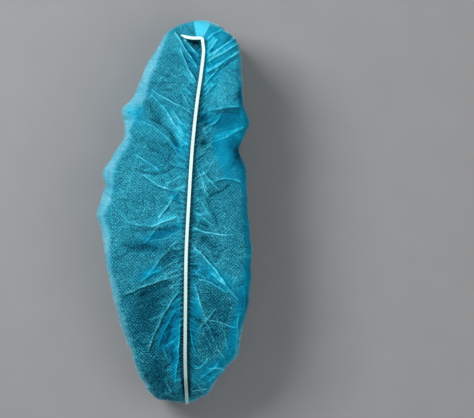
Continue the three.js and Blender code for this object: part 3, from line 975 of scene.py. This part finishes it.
# LOBE: painted light on a bright facet of the left lobe
LOBE = (-37.5, 79.0, 5, 6, 0)  # a taut bright place, as in PATCHES
from_rim = np.where(rows_t < WIDEST_T, from_edge, 0)
under_rim = depth - depth[:, np.searchsorted(rows_t, WIDEST_T)][:, None]
left_pale = past_edge * (LEFT_PALE + LEFT_RIM_SHEEN * np.exp(-from_rim / RIM_HALF))
left_pale *= smooth_step(np.minimum(share, 1 - share), 0.03, 0.1)[:, None]
left_pale *= fade_out(under_rim, -8, 38, 0.85)
# the right rim gets painted sheen, near the heel and the toe only
right_ends = 1 - smooth_step(station, 42, 96) * fade_out(station, 232, 290)
right_rim_sheen = smooth_step(-from_rim, -4.5, -0.5) * right_ends * ~on_left
right_pale = RIGHT_PALE * right_rim_sheen * fade_out(under_rim, -8, 20, 0.8)
lobe = soft_spot(*LOBE)
pale = np.maximum(np.where(on_left, left_pale, right_pale), LOW_PALE * smooth_step(under_rim, 0, 30))
pale *= (1 - heel_pleat) * (1 - 0.9 * lobe)
print("palest:", pale.max().round(2))

# %% How free and how light each place is
# painted shade in the narrow slots beside the fin, darker towards the toe, by station
SLOT_SHADE = [(16, 0.2), (60, 0.3), (100, 0.7), (200, 0.8), (260, 1.5), (300, 1.9)]  # station, darkness
SLOT_EDGE, SLOT_HALF = 2.0, 0.9  # mm from the seam, mm
LIFT_SHOWS, FOLD_SHOWS, TOE_SHADE = 0.22, 0.05, 0.35
slot = beside_seam(SLOT_EDGE, SLOT_HALF) * (1.2 - 0.8 * teeth) * table_at(station, SLOT_SHADE)
near_seam = np.exp(-from_fin / 3.2) * between_ends
# lifted cloth shows less of the sole and is lighter; the gaps between the teeth and the slot get painted
# shade
beside = LIFT_SHOWS * (creased - puckers) + 0.5 * near_seam * tooth_share * (teeth - 0.9) - slot
lift_and_shade = on_sole * beside + (1 - on_sole) * FOLD_SHOWS * (gathered + over)
# painted shade towards the toe, where the sole slopes away from the light
lift_and_shade -= TOE_SHADE * smooth_step(station, 180, 300) * on_sole
loose = past_edge * fade_out(below_edge, 4, 40, 0.3)
on_top = fade_out(below_edge, 1, 8)
low_flank = smooth_step(under_rim, -4, 26)
# the right margin and flank get painted shade: they are darker than the left
loose_with_right_shade = loose * np.where(on_left, 1.0, 0.4 + 0.4 * low_flank)
# the heel pleat counts as free cloth and gets painted light
free = free * on_top + lift_and_shade + loose + heel_pleat
light = light * on_top + lift_and_shade + loose_with_right_shade + heel_pleat
# painted sheen on the right rim near the heel and the toe, and painted light on the left lobe
light += 0.9 * right_rim_sheen * (1 - 0.6 * low_flank) + 0.8 * lobe
print("light from", light.min().round(1), "to", light.max().round(1))

# %% Store the attributes
def store(piece, name, values):
    """Keeps a row of values for each point of a piece as an attribute."""
    vector = values.shape[1] == 3
    layer = piece.data.attributes.new(name, "FLOAT_VECTOR" if vector else "FLOAT", "POINT")
    layer.data.foreach_set("vector" if vector else "value", values.astype(np.float32).ravel())


def give(name, values, fin_value, inner_value):
    """Stores values of the cloth rows as an attribute, with plain ones on the fin and inside."""
    values = np.atleast_3d(values)
    size = values.shape[2]
    fin_values = np.full((COLUMNS, len(FIN_ROWS), size), fin_value)
    grid = np.concatenate([fin_values, values], 1).reshape(-1, size)
    store(body, name, np.concatenate([grid, np.full((inner_count, size), inner_value)]))


give("free", np.clip(free, -2.0, 1.5), 0.2, 0.5)
# the fin under the elastic is given light -0.8, painted shade under the elastic
give("light", np.clip(light, -2.0, 1.5), -0.8, 0.5)
give("crease_way", crease_way, FAR, FAR)
give("crease_line", np.clip(crease_line, -2.0, 2.0), 0.0, 0.0)
give("pale", pale, 0.0, 0.0)
give("past_edge", past_edge, 0.0, 1.0)
give("heel_pleat", heel_pleat, 0.0, 0.0)
give("flank_way", np.dstack([way_round, below_edge, np.zeros_like(depth)]), 0.0, 0.0)
finish_mesh(body, merge=1e-6)

# %% [markdown]
# ## The fabric's finish
# Spunbond fabric is a felt of fine threads, pressed together in a pattern of small diamonds. It is
# thin: where it lies on something dark it looks dark teal, and where a crease lifts it, or past the
# edge of the sole, it is pale. So one tone is added up from the attributes, which hold painted shade
# and painted light as well, and from noise, and three ramps turn it into colours: for cloth that
# clings, for loose cloth and for the pale rim.

# %% Helpers for nodes and colours
def srgb(*levels):
    """A colour from screen levels between 0 and 255, in the linear values that sockets take."""
    linear = [v / 255 / 12.92 if v < 10 else ((v / 255 + 0.055) / 1.055) ** 2.4 for v in levels]
    return (*linear, 1.0)


class Nodes:
    """Adds nodes to a tree, one line at a time."""

    def __init__(self, tree):
        self.nodes, self.links = tree.nodes, tree.links

    def put(self, value, socket):
        if isinstance(value, bpy.types.NodeSocket):
            self.links.new(value, socket)
        else:
            socket.default_value = value

    def add(self, kind, inputs=(), **settings):
        node = self.nodes.new(kind)
        for key, value in settings.items():
            setattr(node, key, value)
        for key, value in dict(inputs).items():
            self.put(value, node.inputs[key])
        return node


# %% Helpers for materials
class Finish(Nodes):
    """A material made of nodes."""

    def __init__(self, name):
        self.material = bpy.data.materials.new(name)
        self.material.use_nodes = True
        super().__init__(self.material.node_tree)
        self.shader = self.nodes["Principled BSDF"]

    def look(self, inputs):
        """Sets the shader's inputs and gives the material back."""
        for key, value in inputs.items():
            self.put(value, self.shader.inputs[key])
        return self.material

    def place(self):
        return self.add("ShaderNodeTexCoord").outputs["Object"]

    def attribute(self, name, output="Fac"):
        return self.add("ShaderNodeAttribute", attribute_name=name).outputs[output]

    def split(self, vector):
        return self.add("ShaderNodeSeparateXYZ", {0: vector}).outputs

    def math(self, operation, a, b=0.0):
        return self.add("ShaderNodeMath", {0: a, 1: b}, operation=operation).outputs[0]

    def vector(self, operation, a, b):
        return self.add("ShaderNodeVectorMath", {0: a, 1: b}, operation=operation).outputs[0]

    def total(self, first, *others):
        for other in others:
            first = self.math("ADD", first, other)
        return first

    def times(self, first, *others):
        for other in others:
            first = self.math("MULTIPLY", first, other)
        return first

    def noise(self, where, scale, detail=3.0, rough=0.5, output="Fac"):
        inputs = {"Vector": where, "Scale": scale, "Detail": detail, "Roughness": rough}
        return self.add("ShaderNodeTexNoise", inputs).outputs[output]

    def remap(self, value, low, high, to_low=0.0, to_high=1.0):
        inputs = {"Value": value, "From Min": low, "From Max": high, "To Min": to_low, "To Max": to_high}
        return self.add("ShaderNodeMapRange", inputs).outputs["Result"]

    def mix(self, factor, a, b):
        return self.add("ShaderNodeMix", {0: factor, 6: a, 7: b}, data_type="RGBA").outputs[2]

    def ramp(self, value, rows):
        node = self.add("ShaderNodeValToRGB", {0: value})
        stops = node.color_ramp.elements
        stops.remove(stops[1])
        for place, *colour in rows:
            stop = stops[0] if place == rows[0][0] else stops.new(place)
            stop.position, stop.color = place, srgb(*colour)
        return node.outputs[0]

    def bump(self, height, strength, distance, under=None):
        inputs = {"Height": height, "Strength": strength, "Distance": distance}
        if under is not None:
            inputs["Normal"] = under
        return self.add("ShaderNodeBump", inputs).outputs["Normal"]


# %% Colours of the fabric
CLINGING = [  # tone, then the colour there
    (0.0, 0, 54, 76),
    (0.25, 8, 90, 112),
    (0.45, 31, 127, 149),
    (0.65, 58, 163, 183),
    (0.85, 100, 204, 218),
    (1.0, 150, 230, 240),
]
LOOSE = [
    (0.0, 0, 44, 68),
    (0.22, 0, 84, 114),
    (0.45, 0, 122, 156),
    (0.65, 8, 154, 188),
    (0.82, 44, 190, 219),
    (1.0, 110, 222, 243),
]
PALE = [
    (0.0, 0, 92, 120),
    (0.35, 54, 138, 158),
    (0.65, 116, 178, 192),
    (0.85, 152, 198, 208),
    (1.0, 184, 224, 232),
]
# the blue of the heel pleat: free cloth, brightened with painted light
LIT_PLEAT_BLUE, SHEEN = srgb(86, 218, 246), srgb(165, 220, 232)
print(len(CLINGING + LOOSE + PALE), "colours in three ramps")

# %% Patterns in the fabric
DOT_PITCH = 0.0030
LINE_HALF, STEEP_OFF, STEEP_HALF = 0.5, 1.3, 0.9  # mm
# pale ridge lines are partly painted highlight; dark valley lines and the steep side are painted shade
LINE_LIGHT, STEEP_SHADE = 0.29, 0.1
NET_SCALE, NET_DRIFT = 75.0, 0.014


def pressed_dots(f, a, b, pitch):
    """Small diamonds where two slanted sets of waves both peak."""
    turns = (f.times(f.math(way, a, b), math.pi / pitch) for way in ("ADD", "SUBTRACT"))
    both = f.times(*(f.math("SINE", turn) for turn in turns))
    return f.remap(f.math("ABSOLUTE", both), 0.3, 0.8)


def dots_on_sheet(f, where):
    """Diamonds in plan on the sole, a little astray, which follow the flank past the edge."""
    plan, flank = f.split(where), f.split(f.attribute("flank_way", "Vector"))
    stray = f.remap(f.noise(where, 330, 2), 0.3, 0.7, -0.0004, 0.0004)
    on_top = pressed_dots(f, f.math("ADD", plan[0], stray), f.math("SUBTRACT", plan[1], stray), DOT_PITCH)
    on_flank = pressed_dots(f, flank[0], flank[1], 1000 * DOT_PITCH)
    past = f.attribute("past_edge")
    return f.total(f.times(on_top, f.math("SUBTRACT", 1.0, past)), f.times(on_flank, past))


def threads(f, where, turn):
    """Fine fibres that run one way."""
    mapping = f.add("ShaderNodeMapping", {"Vector": where, "Rotation": (0, 0, turn), "Scale": (1, 0.18, 1)})
    return f.noise(mapping.outputs[0], 2600, 2, 0.6)


def fine_creases(f, where, clouds):
    """Broken thin lines of an uneven net, finer than the mesh can hold."""
    drift = f.vector("MULTIPLY", f.noise(where, 45, output="Color"), (NET_DRIFT, NET_DRIFT, NET_DRIFT))
    cells = {"Vector": f.vector("ADD", where, drift), "Scale": NET_SCALE}
    net = f.add("ShaderNodeTexVoronoi", cells, feature="DISTANCE_TO_EDGE").outputs["Distance"]
    return f.times(f.remap(net, 0.05, 0.0), f.remap(clouds, 0.42, 0.62))


def crease_lines(f):
    """A thin pale line on each ridge, partly doubled cloth and partly painted highlight, painted shade on
    its steep side, and a thin dark line of painted shade in each valley.
    """
    way, line = f.attribute("crease_way"), f.attribute("crease_line")
    thin = f.math("EXPONENT", f.times(f.math("ABSOLUTE", way), -1 / LINE_HALF))
    off = f.math("ADD", way, STEEP_OFF)
    steep = f.math("EXPONENT", f.times(off, off, -1 / STEEP_HALF**2))
    shade = f.times(steep, f.math("MAXIMUM", line, 0.0), STEEP_SHADE)
    return f.math("SUBTRACT", f.times(thin, line, LINE_LIGHT), shade)


# %% Non-woven fabric
def nonwoven(name):
    """The finish of the sheet and the hem: a tone added up from all patterns, then three ramps."""
    f = Finish(name)
    where = f.place()
    dots = dots_on_sheet(f, where)
    felt = f.total(threads(f, where, 0.5), threads(f, where, 2.2))
    mottle = f.noise(where, 980, 2, 0.7)
    clouds = f.noise(where, 55, 4, 0.6)
    veins = fine_creases(f, where, clouds)
    lines = f.times(crease_lines(f), f.remap(f.noise(where, 160, 2), 0.35, 0.65, 0.5, 1.2))
    cling = f.remap(f.attribute("free"), 0.75, -0.1)
    speckle = f.times(
        f.total(f.remap(dots, 0, 1, 0.07, -0.12), f.remap(mottle, 0.3, 0.7, -0.32, 0.32)),
        f.remap(cling, 0, 1, 0.35, 1.0),
        f.remap(f.split(where)[1], -0.12, 0.13, 1.25, 0.68),
        f.remap(lines, 0.0, 0.3, 1.0, 0.45),
    )
    tone = f.total(
        f.remap(f.attribute("light"), -2.0, 1.0, -0.07, 0.68),
        speckle,
        f.remap(felt, 0.7, 1.3, -0.07, 0.07),
        f.remap(clouds, 0.3, 0.7, -0.07, 0.07),
        lines,
        f.times(veins, 0.12),
    )
    paler = f.times(
        f.attribute("pale"),
        f.remap(mottle, 0.3, 0.7, 0.8, 1.1),
        f.remap(clouds, 0.3, 0.6, 0.75, 1.0),
    )
    colour = f.mix(cling, f.ramp(tone, LOOSE), f.ramp(tone, CLINGING))
    colour = f.mix(paler, colour, f.ramp(tone, PALE))
    pressed = f.bump(f.times(dots, -1.0), 0.5, 0.00025)
    creased = f.bump(veins, 0.6, 0.0005, pressed)
    return f.look({
        # the heel pleat is mixed towards a bright blue of painted light
        "Base Color": f.mix(f.times(f.attribute("heel_pleat"), 0.7), colour, LIT_PLEAT_BLUE),
        "Roughness": 0.65,
        "Specular IOR Level": 0.05,
        "Sheen Weight": 1.0,
        "Sheen Roughness": 0.22,
        "Sheen Tint": SHEEN,
        "Normal": f.bump(felt, 0.3, 0.00015, creased),
    })


fabric = nonwoven("nonwoven_blue")
body.data.materials.append(fabric)
print("fabric finish has", len(fabric.node_tree.nodes), "nodes")

# %% [markdown]
# ## The white elastic
# A flat braided elastic, sewn on stretched. It lies on the crest of the fin, turns down over the
# toe, and its cut end sticks out to the left at the heel. A curve with a bevel could make it
# too, but a section swept along the path can be narrowed at each stitch and keep its thickness.

# %% The path of the elastic
ELASTIC_TAIL = [  # x, station, height over the sole
    (6.0, 12.9, 3),
    (9.5, 14.3, 4.4),
    (15.3, 15.3, 5.4),
    (19.5, 15.3, 5.8),
    (22.3, 15.4, 6),
    (23.3, 16.1, 6),
    (23.6, 17.6, 5.9),
]
CREST_STEPS, CREST_FIRST = 50, 3  # steps along the seam, and the first one past the tail
PATH_PITCH = 0.4
UP = (0.0, 0.0, 1.0)
tail = [(x, LENGTH / 2 - s, float(sole_z(s)) + rise) for x, s, rise in ELASTIC_TAIL]
crest = seam(np.arange(CREST_FIRST, CREST_STEPS) / CREST_STEPS)
crest_station = LENGTH / 2 - crest[:, 1]
crest = np.c_[crest, sole_z(crest_station) + fin_rise(crest_station)]
toe_knots, toe_out = rib_knots(np.array([1.0]), np.array([1.0]))
toe, toe_way = along_ribs(toe_knots, np.linspace(0, WIDEST_T, 11))
toe_normal = np.c_[-toe_way[0, :, 2:] * toe_out[0], toe_way[0, :, :2] @ toe_out[0]]
spine_points = np.concatenate([tail, crest, toe[0]])
spine_faces = np.concatenate([np.tile(UP, (len(tail) + len(crest), 1)), toe_normal])


def resample(points, normals, pitch):
    """Evenly spaced points on a smooth curve through the given ones, and the way each one faces."""
    t = np.linspace(0, 1, 40 * len(points))
    nudge = 1e-6 * np.arange(len(normals))[:, None]  # the curve needs knots that differ
    fine, fine_normals = (along_ribs(rows[None], t)[0][0] for rows in (points, normals + nudge))
    run = run_along(fine)
    even = np.linspace(0, run[-1], int(run[-1] / pitch) + 1)
    picked = [np.stack([np.interp(even, run, column) for column in v.T], -1) for v in (fine, fine_normals)]
    return *picked, even


path, path_up, run = resample(spine_points, spine_faces, PATH_PITCH)
forward = unit(np.gradient(path, axis=0))
sideways = unit(np.cross(forward, path_up))
facing = np.cross(sideways, forward)
print("elastic is", round(float(run[-1])), "mm long")

# %% Sweep the braid
BAND_HALF, BAND_THICK = 1.45, 1.2
BRAID_RIBS, RIB_DEPTH = 5, 0.16
NIP, CUT_END = 0.06, 0.45  # how much a stitch narrows it, and the share of its width at the cut end


def tube_faces(steps, ring, closed=False):
    """Quads between rings of points. A closed tube joins its last ring to its first."""
    def at(step, corner):
        return (step % steps) * ring + corner % ring

    spans = steps if closed else steps - 1
    return [quad(at, step, corner) for step in range(spans) for corner in range(ring)]


top_x = np.linspace(-1, 1, 4 * BRAID_RIBS + 1)
top_z = BAND_THICK - RIB_DEPTH * (0.5 + 0.5 * np.cos(np.pi * BRAID_RIBS * (top_x + 1)))
top_z[[0, -1]] = 0.55 * BAND_THICK
profile = np.r_[np.c_[BAND_HALF * top_x, top_z], [(BAND_HALF - 0.15, 0.1), (0.15 - BAND_HALF, 0.1)]]
wide = 1 - NIP * (0.5 + 0.5 * np.cos(2 * np.pi * run / STITCH_PITCH))
wide *= CUT_END + (1 - CUT_END) * smooth_step(run, 0, 5)
out = sideways[:, None] * profile[None, :, :1] * wide[:, None, None]
up = facing[:, None] * (GAP - 0.1 + profile[None, :, 1:])
ring = len(profile)
caps = [tuple(range(ring))[::-1], tuple((len(path) - 1) * ring + c for c in range(ring))]
braid = mesh_object("seam_elastic", path[:, None] + out + up, tube_faces(len(path), ring) + caps)
band = finish_mesh(braid)

# %% White elastic finish
f = Finish("elastic_white")
where = f.place()
# greyer and greener towards the toe, and in noisy patches
toe_grey = f.total(
    f.remap(f.split(where)[1], -0.03, -0.14, 0, 0.75),
    f.remap(f.noise(where, 60), 0.35, 0.75, 0, 0.35),
)
elastic = f.look({
    "Base Color": f.mix(toe_grey, srgb(220, 246, 243), srgb(176, 214, 205)),
    "Roughness": 0.6,
    "Normal": f.bump(f.noise(where, 1500), 0.35, 0.0002),
})
band.data.materials.append(elastic)
print("elastic finish has", len(elastic.node_tree.nodes), "nodes")

# %% [markdown]
# ## Stitches
# An overlock seam holds the two edges of the sheet and the elastic together: each thread loops over
# the edges from one side to the other. A plain stitch closes the hem. One small bent thread repeats
# along a line in both. Geometry Nodes suit that: a curve is cut into even steps, each step gets an
# instance of the thread, turned along the line, and pitch and thread stay inputs that can be changed.

# %% A tree that sews along a line
SIZES = (0.88, 1.12)  # the smallest and largest stitch


def sewing_tree():
    """A Geometry Nodes tree that puts a bent thread at each step of a line."""
    tree = bpy.data.node_groups.new("sew_along_a_line", "GeometryNodeTree")
    shape_names = ("Start", "Start Handle", "End Handle", "End")

    def input_of(kind, *names):
        for name in names:
            tree.interface.new_socket(name, in_out="INPUT", socket_type=kind)

    def node(kind, inputs=(), **settings):
        return Nodes(tree).add(kind, inputs, **settings).outputs

    input_of("NodeSocketGeometry", "Line")
    input_of("NodeSocketFloat", "Pitch", "Thread Radius")
    input_of("NodeSocketVector", *shape_names)
    input_of("NodeSocketInt", "Seed")
    input_of("NodeSocketMaterial", "Finish")
    tree.interface.new_socket("Stitches", in_out="OUTPUT", socket_type="NodeSocketGeometry")
    given = node("NodeGroupInput")

    curve = node("GeometryNodeMeshToCurve", {"Mesh": given["Line"]})[0]
    even = node("GeometryNodeResampleCurve", {"Curve": curve, "Length": given["Pitch"]}, mode="LENGTH")[0]
    ahead = node("GeometryNodeInputTangent")[0]
    turned = node("FunctionNodeAlignRotationToVector", {"Vector": ahead}, axis="X")[0]
    lying = {"Rotation": turned, "Vector": UP}
    upright = node("FunctionNodeAlignRotationToVector", lying, axis="Z", pivot_axis="X")[0]
    shape = {key: given[key] for key in shape_names}
    bend = node("GeometryNodeCurvePrimitiveBezierSegment", {"Resolution": 8, **shape})[0]
    ring = node("GeometryNodeCurvePrimitiveCircle", {"Resolution": 5, "Radius": given["Thread Radius"]})[0]
    thread = node("GeometryNodeCurveToMesh", {"Curve": bend, "Profile Curve": ring, "Fill Caps": True})[0]
    sizes = {2: SIZES[0], 3: SIZES[1], "Seed": given["Seed"]}
    size = node("FunctionNodeRandomValue", sizes, data_type="FLOAT")[1]
    placed = {"Points": even, "Instance": thread, "Rotation": upright, "Scale": size}
    many = node("GeometryNodeInstanceOnPoints", placed)[0]
    real = node("GeometryNodeRealizeInstances", {"Geometry": many})[0]
    done = node("GeometryNodeSetMaterial", {"Geometry": real, "Material": given["Finish"]})[0]
    tree.links.new(done, tree.nodes.new("NodeGroupOutput").inputs[0])
    return tree


stitch_maker = sewing_tree()
print("sewing tree has", len(stitch_maker.nodes), "nodes")

# %% Run the tree along a line
def sew(name, points, closed, values):
    """Sews along points in table millimetres and keeps the result as a plain mesh."""
    count = len(points)
    edges = [(k, (k + 1) % count) for k in range(count if closed else count - 1)]
    piece = mesh_object(name, points, [], edges)
    sewing = piece.modifiers.new("sewing", "NODES")
    sewing.node_group = stitch_maker
    for socket in stitch_maker.interface.items_tree:
        if socket.in_out == "INPUT" and socket.name in values:
            sewing[socket.identifier] = values[socket.name]
    ready = bpy.context.evaluated_depsgraph_get()
    plain = bpy.data.meshes.new_from_object(piece.evaluated_get(ready), depsgraph=ready)
    piece.modifiers.remove(sewing)
    piece.data = plain
    return finish_mesh(piece)


# %% Overlock stitches along the seam
f = Finish("thread_blue")
thread_blue = f.look({
    "Base Color": f.mix(f.noise(f.place(), 2500, 2), srgb(6, 78, 104), srgb(30, 122, 150)),
    "Roughness": 0.7,
})
OVERLOCK = {
    "Pitch": STITCH_PITCH / 1000,
    "Thread Radius": 0.00024,
    "Start": (0, -0.0031, -0.0036),
    "Start Handle": (0.0001, -0.0024, 0.0016),
    "End Handle": (0.0005, 0.0024, 0.0016),
    "End": (0.0008, 0.0031, -0.0036),
    "Seed": 3,
    "Finish": thread_blue,
}
sewn = crest[4:-3]
seam_stitches = sew("seam_stitches", sewn, False, OVERLOCK)

# %% [markdown]
# ## The hem round the opening
# The edge of the sheet is folded over a second elastic, which gathers it into many small pleats. It
# is a ring whose section swells and narrows with the pleats, and it lies flat on the floor.

# %% The gathered ring
HEM_STEPS, HEM_CORNERS, HEM_HALF_RISE = 624, 20, 2.6
hem_turn, hem_side, hem_share = loop(HEM_STEPS)
hem_loop = np.pi * hem_turn
pucker = np.cos(HEM_PLEATS * hem_loop + 1.1 * np.sin(7 * hem_loop))
hem_middle = opening(hem_side, hem_share, 0)
hem_out = opening(hem_side, hem_share, 1) - hem_middle
section = []
for angle in np.linspace(0, 2 * np.pi, HEM_CORNERS, endpoint=False) + np.pi / HEM_CORNERS:
    out_share, up_share = (np.sign(v) * abs(v) ** 0.6 for v in (np.cos(angle), np.sin(angle)))
    out = out_share * (HEM_WIDTH / 2 - 0.35 + 0.3 * pucker)
    up = (HEM_HALF_RISE + 0.35 * pucker * (up_share > 0)) * (1 + up_share) - 0.05
    section.append(np.c_[hem_middle + hem_out * out[:, None], np.maximum(0, up)])
faces = [turned(face) for face in tube_faces(HEM_STEPS, HEM_CORNERS, closed=True)]
hem = finish_mesh(mesh_object("gathered_hem", np.stack(section, 1), faces))

# %% Dress the hem in the fabric
hem.data.materials.append(fabric)
hem_run = run_along(hem_middle)
hem_down = 1.4 * np.arange(HEM_CORNERS)
hem_way = np.dstack(np.broadcast_arrays(hem_run[:, None], hem_down[None], 0.0))
hem_free = np.repeat(0.55 + 0.3 * pucker, HEM_CORNERS)[:, None]
store(hem, "free", hem_free)
store(hem, "light", hem_free)
store(hem, "past_edge", np.ones_like(hem_free))
store(hem, "flank_way", hem_way.reshape(-1, 3))
print("hem is", round(float(hem_run[-1])), "mm round")

# %% The stitch in the hem
RUNNING = {
    "Pitch": 0.0042,
    "Thread Radius": 0.00022,
    "Start": (-0.0013, 0, -0.0005),
    "Start Handle": (-0.0010, 0, 0.0004),
    "End Handle": (0.0010, 0, 0.0004),
    "End": (0.0013, 0, -0.0005),
    "Seed": 5,
    "Finish": thread_blue,
}
stitch_line = np.c_[opening(hem_side, hem_share, 1.2), 5.0 + 0.5 * pucker]
hem_stitches = sew("hem_stitches", stitch_line, True, RUNNING)

# %% [markdown]
# ## Floor, light and camera
# The cover lies on a plain pale floor. The light is large and soft, from beyond the heel on the
# left, low enough to show the creases. The camera looks straight down on the sole.

# %% Floor
FLOOR_HALF = 4000
corners = [(a * FLOOR_HALF, b * FLOOR_HALF, 0) for a, b in ((-1, -1), (1, -1), (1, 1), (-1, 1))]
floor = mesh_object("floor", corners, [(0, 1, 2, 3)])
f = Finish("floor_pale")
floor_grey = f.mix(f.noise(f.place(), 30, 4), (0.27, 0.272, 0.278, 1), (0.30, 0.302, 0.308, 1))
floor.data.materials.append(f.look({"Base Color": floor_grey, "Roughness": 0.85}))
print("floor is", 2 * FLOOR_HALF / 1000, "m wide")

# %% Light
def area_light(name, place, size, power):
    """A square lamp that faces the middle of the cover."""
    lamp = bpy.data.lights.new(name, "AREA")
    lamp.size, lamp.energy = size, power
    holder = bpy.data.objects.new(name, lamp)
    bpy.context.scene.collection.objects.link(holder)
    holder.location = place
    holder.rotation_euler = Vector([-v for v in place]).to_track_quat("-Z", "Y").to_euler()
    print(name, "light has", power, "watts")


area_light("key", (-0.95, 0.8, 1.2), 0.8, 27)
area_light("fill", (0.7, -0.2, 1.5), 1.2, 7)
world = bpy.data.worlds.new("studio")
world.use_nodes = True
sky = world.node_tree.nodes["Background"].inputs
sky["Color"].default_value = (0.97, 0.99, 1.0, 1)
sky["Strength"].default_value = 0.30
bpy.context.scene.world = world
bpy.context.scene.view_settings.view_transform = "Standard"

# %% Camera
MM_PER_PIXEL, PHOTO_WIDTH = 0.86, 474
CAMERA_PLACE = (0.0530, 0.0038, 5.0)
SCALE_HEIGHT = 0.078  # where a pixel has that width, near the sole
camera = bpy.data.objects.new("camera", bpy.data.cameras.new("camera"))
bpy.context.scene.collection.objects.link(camera)
camera.location = CAMERA_PLACE
seen_width = MM_PER_PIXEL * PHOTO_WIDTH / 1000
camera.data.lens = camera.data.sensor_width * (CAMERA_PLACE[2] - SCALE_HEIGHT) / seen_width
bpy.context.scene.camera = camera
print("camera lens:", round(camera.data.lens), "mm")

# %% [markdown]
# ## Tie the pieces to the frame
# Every piece rides on the one body of the frame and takes the place of one of its solids, which is
# hidden.

# %% Tie the pieces to the frame
for piece, node, slot in (
    (body, "cover_body", "nonwoven"),
    (band, "sole_elastic", "elastic"),
    (hem, "opening_hem", "hem"),
    (seam_stitches, "cover_body", "nonwoven"),
    (hem_stitches, "opening_hem", "hem"),
):
    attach(piece, "root")
    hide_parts(node)
